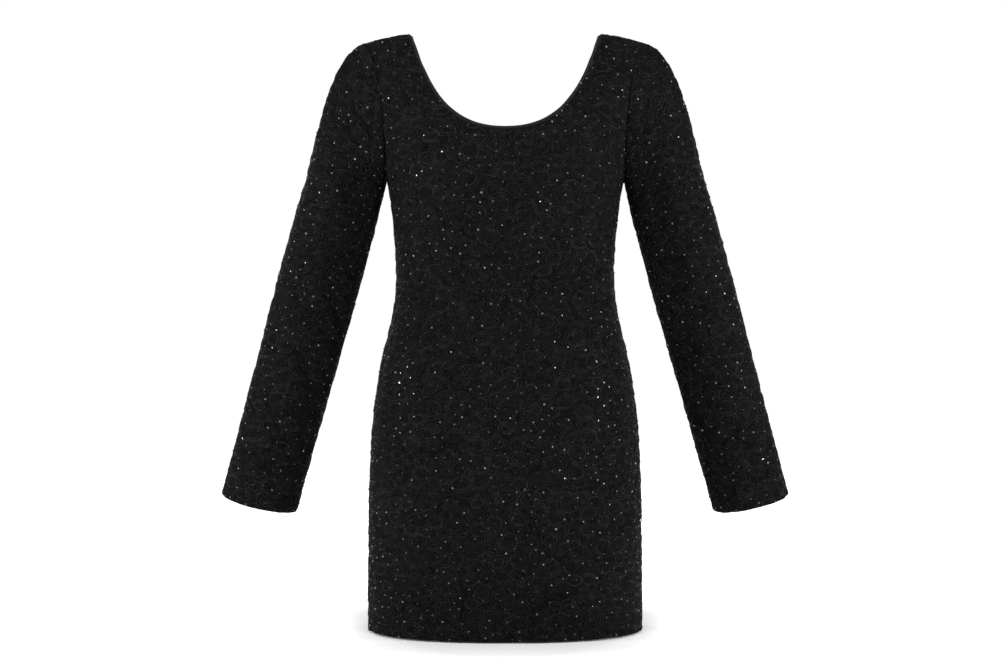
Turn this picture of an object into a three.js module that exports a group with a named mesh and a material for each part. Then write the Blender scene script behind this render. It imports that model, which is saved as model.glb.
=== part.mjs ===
// A long-sleeved mini dress with a wide scoop neck, filled out as when worn, with no wearer.
// Millimetres. +Z is up and the front faces -Y. The origin is midway between the shoulders,
// at the height of the two neck points, where the wearer's shoulders carry the dress.
import * as THREE from 'three';

// Driving sizes.
const DRESS_LENGTH = 783; // neck points straight down to the hem
const UNDERARM_LEVEL = -195;
const CLOTH_WALL = 1.8; // stretch fabric with its raised embroidery
const FOLD_WALL = 2.9; // where a hem or cuff is turned up
const HEM_TURN_UP = 22;
const CUFF_TURN_UP = 18;
const FOLD_STEP = 3; // the turn-up thins out over this length
const FOLD_ROWS = 2; // rows of points in a turn-up, from its edge
const SEAM_GAP = 0.3;
const NECK_HALF_WIDTH = 126.6; // at the panels' cut edge, inside the binding
const NECK_DEPTH_FRONT = 135.8;
const NECK_DEPTH_BACK = 138;
// How full the scoop is: its bottom runs level, and its sides lean, for these shares of its size.
const SCOOP = { level: 0.585, leanWidth: 0.802, leanDepth: 0.606 };
const SHOULDER_POINT = { x: 184, z: -12.5 }; // outer end of the shoulder seam
const SHOULDER_SLOPE = 0.225; // fall of the shoulder seam for each unit outwards
const SECTION_ROUNDNESS = 0.87; // 1 makes the body's sections ellipses, less makes them squarer
const BUST = { x: 70, level: -220, rise: 13, spread: 52, bridged: 0.45 };
// The chest turns over to the shoulder along this curve.
const SHOULDER_ARCH = { start: -176, power: 2.4, root: 0.4 };
// The binding's section. proud is how far it stands above the cloth, and sewnChamfer is the
// smaller chamfer on the edges beside the seam.
const BINDING = { width: 3.2, proud: 0.35, chamfer: 0.7, sewnChamfer: 0.28 };

// Sleeve: a straight tapered tube from the bicep down, and a cap from the armhole to the bicep.
const SLEEVE_ANGLE = THREE.MathUtils.degToRad(15.2); // from the vertical
const BICEP_CENTRE = new THREE.Vector3(213.9, 4, -211);
const SLEEVE_LENGTH = 422; // bicep to cuff, along the tube
const CUFF_DROP = { outer: 1.5, front: 5.5, over: 70 }; // the cuff's edge slants a little

// How many facets each stretch has.
const NECK_COLUMNS = 10; // centre line to neck point
const SHOULDER_COLUMNS = 4; // neck point to armhole
const BODY_ROWS = 17; // above the hem's turn-up, below the underarm
const YOKE_ROWS = 12; // underarm to shoulder
const TOP_EASE = 1.6; // facets are closer together towards the shoulder seam
const CAP_ROWS = 8;
const TUBE_ROWS = 9;
const NORMAL_STEP = { across: 0.004, level: 0.6 }; // between the points that give a normal

// One row for each level of the body. halfWidth is the side seam's distance from the middle, and
// front and back are depths on the centre line. Above the underarm halfWidth is the
// width that the chest would have without armholes, which cut it down.
const BODY_LEVELS = [
  { level: -783, halfWidth: 180.3, front: 120, back: 114 },
  { level: -700, halfWidth: 179.7, front: 119, back: 116 },
  { level: -620, halfWidth: 179.2, front: 118, back: 119 },
  { level: -560, halfWidth: 177.3, front: 118, back: 122 },
  { level: -510, halfWidth: 174.0, front: 116, back: 120 },
  { level: -460, halfWidth: 167.5, front: 112, back: 112 },
  { level: -420, halfWidth: 160.0, front: 107, back: 101 },
  { level: -385, halfWidth: 151.2, front: 102, back: 92 },
  { level: -350, halfWidth: 144.9, front: 99, back: 84 },
  { level: -310, halfWidth: 143.3, front: 100, back: 81 },
  { level: -270, halfWidth: 145.6, front: 105, back: 86 },
  { level: -230, halfWidth: 149.8, front: 110, back: 95 },
  { level: -195, halfWidth: 155.8, front: 110, back: 100 },
  { level: -150, halfWidth: 166.0, front: 102, back: 101 },
  { level: -105, halfWidth: 178.0, front: 90, back: 96 },
  { level: -50, halfWidth: 191.0, front: 83, back: 91 },
  { level: 20, halfWidth: 202.0, front: 80, back: 88 },
];

// The armhole's edge from the underarm to the shoulder point. across is the share of the quarter
// turn from the centre line to the side seam.
const ARMHOLE = [
  { along: 0, across: 1, level: UNDERARM_LEVEL },
  { along: 0.12, across: 0.895, level: -186 },
  { along: 0.24, across: 0.815, level: -170 },
  { along: 0.36, across: 0.757, level: -148 },
  { along: 0.54, across: 0.7, level: -112 },
  { along: 0.72, across: 0.664, level: -73 },
  { along: 0.87, across: 0.68, level: -38 },
  { along: 1, across: acrossFor(SHOULDER_POINT.x, SHOULDER_POINT.z), level: SHOULDER_POINT.z },
];

const ARMHOLE_REACH = 3; // how fast the armhole's hollow fades towards the centre line

// How the cap leaves the armhole, from the shoulder point (0) by the front or back to the
// underarm (1). turn is in degrees from the body's surface, positive where a valley forms,
// and pull is how far the cap keeps that direction, as a share of its length there.
const CAP_SPRING = [
  { round: 0, turn: -5, pull: 0.74 },
  { round: 0.25, turn: 8, pull: 0.62 },
  { round: 0.5, turn: 30, pull: 0.5 },
  { round: 0.75, turn: 95, pull: 0.36 },
  { round: 1, turn: 150, pull: 0.4 },
];

// The sleeve's tube. halfWidth is seen from the front, halfDepth from the side.
const SLEEVE_SECTIONS = [
  { down: 0, halfWidth: 52.6, halfDepth: 47 },
  { down: 36, halfWidth: 53.5, halfDepth: 46.5 },
  { down: 91, halfWidth: 54.1, halfDepth: 45.5 },
  { down: 146, halfWidth: 53.8, halfDepth: 44 },
  { down: 255, halfWidth: 52.2, halfDepth: 41.5 },
  { down: 365, halfWidth: 51.0, halfDepth: 39 },
  { down: 422, halfWidth: 50.8, halfDepth: 38 },
];

// Long soft troughs down each sleeve. round goes once round from the outer edge by the front.
const TROUGH_FADE = 0.6; // how gradually a trough runs out at its ends
const SLEEVE_TROUGHS = [
  { round: 0.345, halfBreadth: 0.055, from: -60, to: 330, depth: 5 },
  { round: 0.64, halfBreadth: 0.06, from: -40, to: 250, depth: 4 },
];

const FRONT = -1;
const BACK = 1;

/** A row between the rows of a table, eased through them, found by one of its columns. */
function rowAt(table, key, value) {
  const last = table.length - 1;
  let i = 0;
  while (i < last - 1 && value > table[i + 1][key]) i += 1;
  const [a, b] = [table[i], table[i + 1]];
  const before = table[Math.max(i - 1, 0)];
  const after = table[Math.min(i + 2, last)];
  const span = b[key] - a[key];
  const t = (value - a[key]) / span;
  const row = {};
  for (const column of Object.keys(a)) {
    const slopeA = ((b[column] - before[column]) / (b[key] - before[key])) * span;
    const slopeB = ((after[column] - a[column]) / (after[key] - a[key])) * span;
    row[column] = hermite(a[column], slopeA, b[column], slopeB, t);
  }
  return row;
}

function hermite(a, slopeA, b, slopeB, t) {
  const square = t * t;
  const cube = square * t;
  return (
    (2 * cube - 3 * square + 1) * a +
    (cube - 2 * square + t) * slopeA +
    (3 * square - 2 * cube) * b +
    (cube - square) * slopeB
  );
}

function bump(distance, halfBreadth) {
  return Math.exp(-0.5 * (distance / halfBreadth) ** 2);
}

function shoulderLevel(x) {
  return -SHOULDER_SLOPE * (Math.abs(x) - SHOULDER_POINT.x) + SHOULDER_POINT.z;
}

/** 1 on the chest, falling to 0 on the shoulder seam, as a rounded shoulder does. */
function shoulderArch(x, level) {
  const rise = (level - SHOULDER_ARCH.start) / (shoulderLevel(x) - SHOULDER_ARCH.start);
  const t = THREE.MathUtils.clamp(rise, 0, 1);
  return (1 - t ** SHOULDER_ARCH.power) ** SHOULDER_ARCH.root;
}

/** A point on the outside of the body. across runs from 0 at the centre to 1 at the side seam. */
function bodyPoint(side, across, level) {
  const at = rowAt(BODY_LEVELS, 'level', level);
  const angle = (Math.PI / 2) * across;
  const x = at.halfWidth * Math.sin(angle) ** SECTION_ROUNDNESS;
  const inward = Math.max(Math.cos(angle), 0) ** SECTION_ROUNDNESS;
  let depth = (side === FRONT ? at.front : at.back) * inward;
  if (side === FRONT) {
    const fromPeak = x < BUST.x ? (BUST.x - x) * BUST.bridged : x - BUST.x;
    const fromBust = Math.hypot(fromPeak, level - BUST.level);
    depth += BUST.rise * bump(fromBust, BUST.spread) * inward;
  }
  return new THREE.Vector3(x, side * depth * shoulderArch(x, level), level);
}

/** The outward normal of the body's right half, from points a small step away. */
function bodyNormal(side, across, level) {
  const inwards = bodyPoint(side, Math.max(across - NORMAL_STEP.across, 0), level);
  const outwards = bodyPoint(side, Math.min(across + NORMAL_STEP.across, 1), level);
  const lower = bodyPoint(side, across, level - NORMAL_STEP.level);
  const upper = bodyPoint(side, across, level + NORMAL_STEP.level);
  const normal = outwards.sub(inwards).cross(upper.sub(lower)).normalize();
  return side === BACK ? normal.negate() : normal;
}

/** The share of the quarter turn at which the body's surface is x wide, at a level. */
function acrossFor(x, level) {
  const share = x / rowAt(BODY_LEVELS, 'level', level).halfWidth;
  return Math.asin(share ** (1 / SECTION_ROUNDNESS)) / (Math.PI / 2);
}

function easedToTop(share) {
  return 1 - (1 - share) ** TOP_EASE;
}

/** A point of the flat pattern's top edge: the scoop of the neck, then the shoulder seam. */
function topEdge(side, share) {
  const neckShare = NECK_COLUMNS / (NECK_COLUMNS + SHOULDER_COLUMNS);
  const depth = side === FRONT ? NECK_DEPTH_FRONT : NECK_DEPTH_BACK;
  const neckTop = shoulderLevel(NECK_HALF_WIDTH);
  if (share <= neckShare) {
    const scoop = new THREE.CubicBezierCurve(
      new THREE.Vector2(0, -depth),
      new THREE.Vector2(NECK_HALF_WIDTH * SCOOP.level, -depth),
      new THREE.Vector2(NECK_HALF_WIDTH * SCOOP.leanWidth, -depth * SCOOP.leanDepth),
      new THREE.Vector2(NECK_HALF_WIDTH, neckTop),
    );
    const point = scoop.getPointAt(easedToTop(share / neckShare));
    return { across: acrossFor(point.x, point.y), level: point.y };
  }
  const out = (share - neckShare) / (1 - neckShare);
  const x = THREE.MathUtils.lerp(NECK_HALF_WIDTH, SHOULDER_POINT.x, out);
  const level = shoulderLevel(x);
  return { across: acrossFor(x, level), level };
}

/** A point of the pattern above the underarm, blended from the edges round it. */
function yokeSpot(side, share, up) {
  const bottom = { across: share, level: UNDERARM_LEVEL };
  const top = topEdge(side, share);
  if (up === 1) return top;
  const underarm = ARMHOLE[0];
  const shoulder = ARMHOLE[ARMHOLE.length - 1];
  const armhole = rowAt(ARMHOLE, 'along', up);
  const [across, level] = ['across', 'level'].map((key) => {
    const straight = THREE.MathUtils.lerp(bottom[key], top[key], up);
    const hollow = armhole[key] - THREE.MathUtils.lerp(underarm[key], shoulder[key], up);
    return straight + hollow * share ** ARMHOLE_REACH;
  });
  return { across, level };
}

/** Rows of outer points of the front or back with their normals, from the hem up. */
function panelRows(side) {
  const half = NECK_COLUMNS + SHOULDER_COLUMNS;
  const hem = -DRESS_LENGTH;
  const foldTop = hem + HEM_TURN_UP + FOLD_STEP;
  const levels = [hem, hem + HEM_TURN_UP];
  for (let i = 0; i <= BODY_ROWS; i += 1) {
    levels.push(THREE.MathUtils.lerp(foldTop, UNDERARM_LEVEL, i / BODY_ROWS));
  }
  const rows = levels.map((level) => (share) => ({ across: share, level }));
  for (let i = 1; i <= YOKE_ROWS; i += 1) {
    const up = easedToTop(i / YOKE_ROWS);
    rows.push((share) => yokeSpot(side, share, up));
  }
  const outer = [];
  const normals = [];
  rows.forEach((spotOf, r) => {
    const points = [];
    const directions = [];
    for (let i = -half; i <= half; i += 1) {
      const { across, level } = spotOf(Math.abs(i) / half);
      const point = bodyPoint(side, across, level);
      const normal = bodyNormal(side, across, level);
      const onSideSeam = Math.abs(i) === half && r < levels.length;
      const onShoulder = r === rows.length - 1 && Math.abs(i) >= NECK_COLUMNS;
      if (onSideSeam) normal.setY(0).normalize();
      if (onShoulder) normal.set(SHOULDER_SLOPE, 0, 1).normalize();
      point.y += side * SEAM_GAP * 0.5;
      if (i < 0) {
        point.x = -point.x;
        normal.x = -normal.x;
      }
      points.push(point);
      directions.push(normal);
    }
    outer.push(points);
    normals.push(directions);
  });
  return { outer, normals };
}

/** The outward normal at each point of a tube's rows. */
function tubeNormals(rows) {
  return rows.map((row, r) =>
    row.map((point, c) => {
      const count = row.length;
      const along = row[(c + 1) % count].clone().sub(row[(c + count - 1) % count]);
      const next = rows[Math.min(r + 1, rows.length - 1)][c];
      const last = rows[Math.max(r - 1, 0)][c];
      return along.cross(next.clone().sub(last)).normalize();
    }),
  );
}

/** A closed wall between two grids of points, as one geometry with its faces pointing out. */
function wallGeometry(outer, inner, closed) {
  const [rowCount, count] = [outer.length, outer[0].length];
  const positions = [...outer.flat(), ...inner.flat()].flatMap((p) => [p.x, p.y, p.z]);
  const index = [];
  const at = (layer, r, c) => (layer * rowCount + r) * count + (c % count);
  const quad = (a, b, c, d) => index.push(a, b, c, a, c, d);
  const columns = closed ? count : count - 1;
  for (let r = 0; r < rowCount - 1; r += 1) {
    for (let c = 0; c < columns; c += 1) {
      quad(at(0, r, c), at(0, r, c + 1), at(0, r + 1, c + 1), at(0, r + 1, c));
      quad(at(1, r + 1, c), at(1, r + 1, c + 1), at(1, r, c + 1), at(1, r, c));
    }
    if (!closed) {
      const end = count - 1;
      quad(at(1, r, 0), at(0, r, 0), at(0, r + 1, 0), at(1, r + 1, 0));
      quad(at(0, r, end), at(1, r, end), at(1, r + 1, end), at(0, r + 1, end));
    }
  }
  const top = rowCount - 1;
  for (let c = 0; c < columns; c += 1) {
    quad(at(1, 0, c), at(1, 0, c + 1), at(0, 0, c + 1), at(0, 0, c));
    quad(at(0, top, c), at(0, top, c + 1), at(1, top, c + 1), at(1, top, c));
  }
  const geometry = new THREE.BufferGeometry();
  geometry.setAttribute('position', new THREE.Float32BufferAttribute(positions, 3));
  geometry.setIndex(facingOut(positions, index));
  geometry.computeVertexNormals();
  return geometry;
}

/** The triangles, all turned round if they enclose a negative volume. */
function facingOut(positions, index) {
  const corner = (i) => new THREE.Vector3().fromArray(positions, 3 * i);
  let volume = 0;
  for (let i = 0; i < index.length; i += 3) {
    volume += corner(index[i]).dot(corner(index[i + 1]).cross(corner(index[i + 2])));
  }
  return volume > 0 ? index : index.slice().reverse();
}

/** The front or back panel: its outer points, their normals and its geometry. */
function makePanel(side) {
  const { outer, normals } = panelRows(side);
  const inner = outer.map((row, r) =>
    row.map((point, c) => {
      const wall = r < FOLD_ROWS ? FOLD_WALL : CLOTH_WALL;
      return point.clone().addScaledVector(normals[r][c], -wall);
    }),
  );
  return { outer, normals, geometry: wallGeometry(outer, inner, false) };
}

/** The edge points of the right armhole with the panels' normals, down the front, up the back. */
function armholeRing(front, back) {
  const first = front.outer.length - 1 - YOKE_ROWS;
  const last = front.outer.length - 1;
  const edge = front.outer[0].length - 1;
  const ring = [];
  for (let r = last; r >= first; r -= 1) {
    ring.push({ point: front.outer[r][edge].clone(), normal: front.normals[r][edge].clone() });
  }
  for (let r = first + 1; r < last; r += 1) {
    ring.push({ point: back.outer[r][edge].clone(), normal: back.normals[r][edge].clone() });
  }
  for (const i of [0, YOKE_ROWS]) {
    ring[i].point.setY(0);
    ring[i].normal.setY(0).normalize();
  }
  return ring;
}

/** Rows of outer points of the right sleeve, armhole first, and the normals of the first row. */
function sleeveRows(ring) {
  const count = ring.length;
  const down = new THREE.Vector3(Math.sin(SLEEVE_ANGLE), 0, -Math.cos(SLEEVE_ANGLE));
  const outwards = new THREE.Vector3(Math.cos(SLEEVE_ANGLE), 0, Math.sin(SLEEVE_ANGLE));
  const forwards = new THREE.Vector3(0, -1, 0);
  const tubePoint = (i, distance) => {
    const at = rowAt(SLEEVE_SECTIONS, 'down', distance);
    const angle = (2 * Math.PI * i) / count;
    const nearCuff = Math.max(0, 1 - (SLEEVE_LENGTH - distance) / CUFF_DROP.over);
    const drop =
      nearCuff * (CUFF_DROP.outer * Math.cos(angle) + CUFF_DROP.front * Math.sin(angle));
    const sunk = troughDepth(i / count, distance);
    return BICEP_CENTRE.clone()
      .addScaledVector(down, distance + drop)
      .addScaledVector(outwards, (at.halfWidth - sunk) * Math.cos(angle))
      .addScaledVector(forwards, (at.halfDepth - sunk) * Math.sin(angle));
  };
  const starts = ring.map(({ point, normal }, i) => {
    const along = ring[(i + 1) % count].point.clone().sub(ring[(i + count - 1) % count].point);
    const away = normal.clone().cross(along).normalize();
    const round = Math.abs(1 - (2 * i) / count);
    const spring = rowAt(CAP_SPRING, 'round', 1 - round);
    const turn = THREE.MathUtils.degToRad(spring.turn);
    const valley = Math.max(turn, 0);
    const turned = (angle) =>
      away.clone().multiplyScalar(Math.cos(angle)).addScaledVector(normal, Math.sin(angle));
    // The gap lies halfway between the panel's direction and the cap's.
    const start = point.clone().addScaledVector(turned(valley / 2), SEAM_GAP);
    const face = normal.clone().multiplyScalar(Math.cos(valley))
      .addScaledVector(away, -Math.sin(valley));
    return { start, direction: turned(turn), pull: spring.pull, face };
  });
  const rows = [];
  for (let r = 0; r <= CAP_ROWS; r += 1) {
    const t = r / CAP_ROWS;
    rows.push(starts.map(({ start, direction, pull }, i) => {
      const end = tubePoint(i, 0);
      const length = end.distanceTo(start);
      const blend = (axis) => hermite(
        start[axis], direction[axis] * pull * length, end[axis], down[axis] * length, t,
      );
      return new THREE.Vector3(blend('x'), blend('y'), blend('z'));
    }));
  }
  const foldTop = SLEEVE_LENGTH - CUFF_TURN_UP - FOLD_STEP;
  const distances = [];
  for (let r = 1; r <= TUBE_ROWS; r += 1) distances.push((foldTop * r) / TUBE_ROWS);
  distances.push(SLEEVE_LENGTH - CUFF_TURN_UP, SLEEVE_LENGTH);
  for (const distance of distances) {
    rows.push(starts.map((unused, i) => tubePoint(i, distance)));
  }
  return { rows, faces: starts.map(({ face }) => face) };
}

/** How far the sleeve's surface is sunk by its troughs. */
function troughDepth(round, distance) {
  let sunk = 0;
  for (const trough of SLEEVE_TROUGHS) {
    const middle = (trough.from + trough.to) / 2;
    const halfLength = (trough.to - trough.from) / 2;
    const lengthwise = bump(distance - middle, halfLength * TROUGH_FADE);
    sunk += trough.depth * bump(round - trough.round, trough.halfBreadth) * lengthwise;
  }
  return sunk;
}

function makeSleeve(ring, mirror) {
  const { rows, faces } = sleeveRows(ring);
  const normals = tubeNormals(rows);
  normals[0] = faces;
  const inner = rows.map((row, r) =>
    row.map((point, c) => {
      const wall = r >= rows.length - FOLD_ROWS ? FOLD_WALL : CLOTH_WALL;
      return point.clone().addScaledVector(normals[r][c], -wall);
    }),
  );
  if (mirror) {
    for (const point of [...rows.flat(), ...inner.flat()]) point.x = -point.x;
  }
  return wallGeometry(rows, inner, true);
}

/** The neck binding: a small chamfered section carried round the panels' neck edges. */
function makeBinding(front, back) {
  const half = NECK_COLUMNS + SHOULDER_COLUMNS;
  const last = front.outer.length - 1;
  const ring = [];
  const take = (panel, c) => {
    ring.push({ point: panel.outer[last][c].clone(), normal: panel.normals[last][c].clone() });
  };
  for (let c = half - NECK_COLUMNS; c <= half + NECK_COLUMNS; c += 1) take(front, c);
  for (let c = half + NECK_COLUMNS - 1; c > half - NECK_COLUMNS; c -= 1) take(back, c);
  for (const i of [0, 2 * NECK_COLUMNS]) {
    ring[i].point.setY(0);
    ring[i].normal.setY(0).normalize();
  }
  const { width, proud, chamfer, sewnChamfer } = BINDING;
  const near = SEAM_GAP;
  const far = SEAM_GAP + width;
  const high = proud;
  const low = -CLOTH_WALL - proud;
  const section = [
    [near, high - sewnChamfer],
    [near + chamfer, high],
    [far - chamfer, high],
    [far, high - chamfer],
    [far, low + chamfer],
    [far - chamfer, low],
    [near + chamfer, low],
    [near, low + sewnChamfer],
  ];
  const count = ring.length;
  const rows = ring.map(({ point, normal }, i) => {
    const along = ring[(i + 1) % count].point.clone().sub(ring[(i + count - 1) % count].point);
    const away = normal.clone().cross(along).normalize();
    return section.map(([out, up]) =>
      point.clone().addScaledVector(away, out).addScaledVector(normal, up));
  });
  return ringGeometry(rows);
}

/** A closed ring from a loop of closed sections. */
function ringGeometry(sections) {
  const [count, sides] = [sections.length, sections[0].length];
  const positions = sections.flat().flatMap((p) => [p.x, p.y, p.z]);
  const at = (i, j) => (i % count) * sides + (j % sides);
  const index = [];
  for (let i = 0; i < count; i += 1) {
    for (let j = 0; j < sides; j += 1) {
      index.push(at(i, j), at(i + 1, j), at(i + 1, j + 1));
      index.push(at(i, j), at(i + 1, j + 1), at(i, j + 1));
    }
  }
  const geometry = new THREE.BufferGeometry();
  geometry.setAttribute('position', new THREE.Float32BufferAttribute(positions, 3));
  geometry.setIndex(facingOut(positions, index));
  geometry.computeVertexNormals();
  return geometry;
}

function namedMesh(name, geometry, material) {
  const mesh = new THREE.Mesh(geometry, material);
  mesh.name = name;
  return mesh;
}

const cloth = { color: 0x171718, roughness: 0.85, metalness: 0 };
const front = makePanel(FRONT);
const back = makePanel(BACK);
const ring = armholeRing(front, back);

const group = new THREE.Group();
group.add(namedMesh('front_panel', front.geometry, new THREE.MeshStandardMaterial(cloth)));
group.add(namedMesh('back_panel', back.geometry, new THREE.MeshStandardMaterial(cloth)));
group.add(namedMesh('sleeve_right', makeSleeve(ring, false),
  new THREE.MeshStandardMaterial(cloth)));
group.add(namedMesh('sleeve_left', makeSleeve(ring, true), new THREE.MeshStandardMaterial(cloth)));
group.add(namedMesh('neck_binding', makeBinding(front, back),
  new THREE.MeshStandardMaterial({ color: 0x1c1c1e, roughness: 0.6, metalness: 0 })));

export default group;
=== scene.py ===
"""The looks of a long-sleeved mini dress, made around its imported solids.

Four pieces of stretch knit are laid out as fine grids on the same forms as the solids, get their
creases, turned seams and hems, and carry ring embroidery and small stones. A satin binding
finishes the neck. Sizes are in millimetres until a mesh is made, and angles are in degrees.
"""

import logging
import math
from dataclasses import dataclass, field
from enum import Enum
from typing import Any

import bpy
import numpy as np
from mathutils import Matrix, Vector

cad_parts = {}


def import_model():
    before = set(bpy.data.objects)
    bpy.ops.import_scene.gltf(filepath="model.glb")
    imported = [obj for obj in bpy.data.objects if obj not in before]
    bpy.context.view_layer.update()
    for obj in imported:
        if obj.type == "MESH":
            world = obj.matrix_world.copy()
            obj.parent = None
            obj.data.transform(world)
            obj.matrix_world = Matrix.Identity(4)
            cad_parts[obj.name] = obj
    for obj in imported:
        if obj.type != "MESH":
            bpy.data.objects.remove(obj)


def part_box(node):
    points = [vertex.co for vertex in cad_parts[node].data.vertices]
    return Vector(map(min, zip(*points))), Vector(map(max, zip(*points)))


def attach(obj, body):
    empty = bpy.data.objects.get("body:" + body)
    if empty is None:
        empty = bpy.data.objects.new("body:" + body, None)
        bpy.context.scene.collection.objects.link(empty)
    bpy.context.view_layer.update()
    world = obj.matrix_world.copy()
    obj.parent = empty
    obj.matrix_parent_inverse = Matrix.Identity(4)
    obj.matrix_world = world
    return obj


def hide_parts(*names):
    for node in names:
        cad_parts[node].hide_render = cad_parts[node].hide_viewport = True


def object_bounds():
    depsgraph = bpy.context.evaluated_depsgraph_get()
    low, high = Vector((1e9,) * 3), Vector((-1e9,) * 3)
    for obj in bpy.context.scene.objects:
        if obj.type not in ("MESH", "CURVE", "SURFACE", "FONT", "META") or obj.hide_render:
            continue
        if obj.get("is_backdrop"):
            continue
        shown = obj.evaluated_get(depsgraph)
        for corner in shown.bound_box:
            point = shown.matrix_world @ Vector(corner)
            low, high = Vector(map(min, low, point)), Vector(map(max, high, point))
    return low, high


LOG = logging.getLogger("dress")
MM = 0.001
CURVE_STEPS = 600  # points along a curve whose length is measured
SEAM_ALLOWANCE = 5.4
CREASE_MARGIN = 16  # creases fade out this near a seam


class Side(Enum):
    """The front or the back of the body, by the sign of its depth."""

    FRONT = -1
    BACK = 1


class Hand(Enum):
    """The sleeve on the +X or the -X side."""

    RIGHT = 1
    LEFT = -1


def hermite(a: Any, slope_a: Any, b: Any, slope_b: Any, t: Any) -> Any:
    """A smooth curve from a to b that leaves and arrives with the given slopes.

    Args:
        a: Value at the start.
        slope_a: Slope at the start.
        b: Value at the end.
        slope_b: Slope at the end.
        t: Share of the way, 0 to 1.

    Returns:
        The value at t.
    """
    square = t * t
    cube = square * t
    start = (2 * cube - 3 * square + 1) * a + (cube - 2 * square + t) * slope_a
    return start + (3 * square - 2 * cube) * b + (cube - square) * slope_b


def bump(distance: np.ndarray, half_breadth: float) -> np.ndarray:
    """A soft rounded hill, 1 in the middle."""
    return np.exp(-0.5 * (distance / half_breadth) ** 2)


def ease(share: np.ndarray) -> np.ndarray:
    """0 to 1 with a level start and end."""
    held = np.clip(share, 0, 1)
    return held * held * (3 - 2 * held)


def unit(vectors: np.ndarray) -> np.ndarray:
    """The vectors at length 1, along the last axis."""
    length = np.linalg.norm(vectors, axis=-1, keepdims=True)
    return vectors / np.maximum(length, 1e-9)


def dot(a: np.ndarray, b: np.ndarray) -> np.ndarray:
    """The dot product along the last axis, which is kept."""
    return np.sum(a * b, axis=-1, keepdims=True)


def lengths_along(points: np.ndarray) -> np.ndarray:
    """The distance along a line of points, from 0 at the first."""
    steps = np.linalg.norm(np.diff(points, axis=0), axis=-1)
    return np.concatenate([[0.0], np.cumsum(steps)])


class Rows:
    """A table of sizes, eased through its rows. Its first column is the key."""

    def __init__(self, names: tuple[str, ...], rows: tuple[tuple[float, ...], ...]) -> None:
        """Keeps the column names and the rows, which rise by their key."""
        self.names = names
        self.table = np.array(rows, float)

    def at(self, value: Any) -> dict[str, np.ndarray]:
        """Each column at the given keys.

        Args:
            value: One key or an array of keys.

        Returns:
            The columns by name, each shaped like value.
        """
        keys = self.table[:, 0]
        last = len(keys) - 1
        value = np.asarray(value, float)
        i = np.clip(np.searchsorted(keys, value) - 1, 0, last - 1)
        before = np.maximum(i - 1, 0)
        after = np.minimum(i + 2, last)
        span = keys[i + 1] - keys[i]
        t = (value - keys[i]) / span
        found = {}
        for name, column in zip(self.names, self.table.T):
            slope_a = (column[i + 1] - column[before]) / (keys[i + 1] - keys[before]) * span
            slope_b = (column[after] - column[i]) / (keys[after] - keys[i]) * span
            found[name] = hermite(column[i], slope_a, column[i + 1], slope_b, t)
        return found


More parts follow.
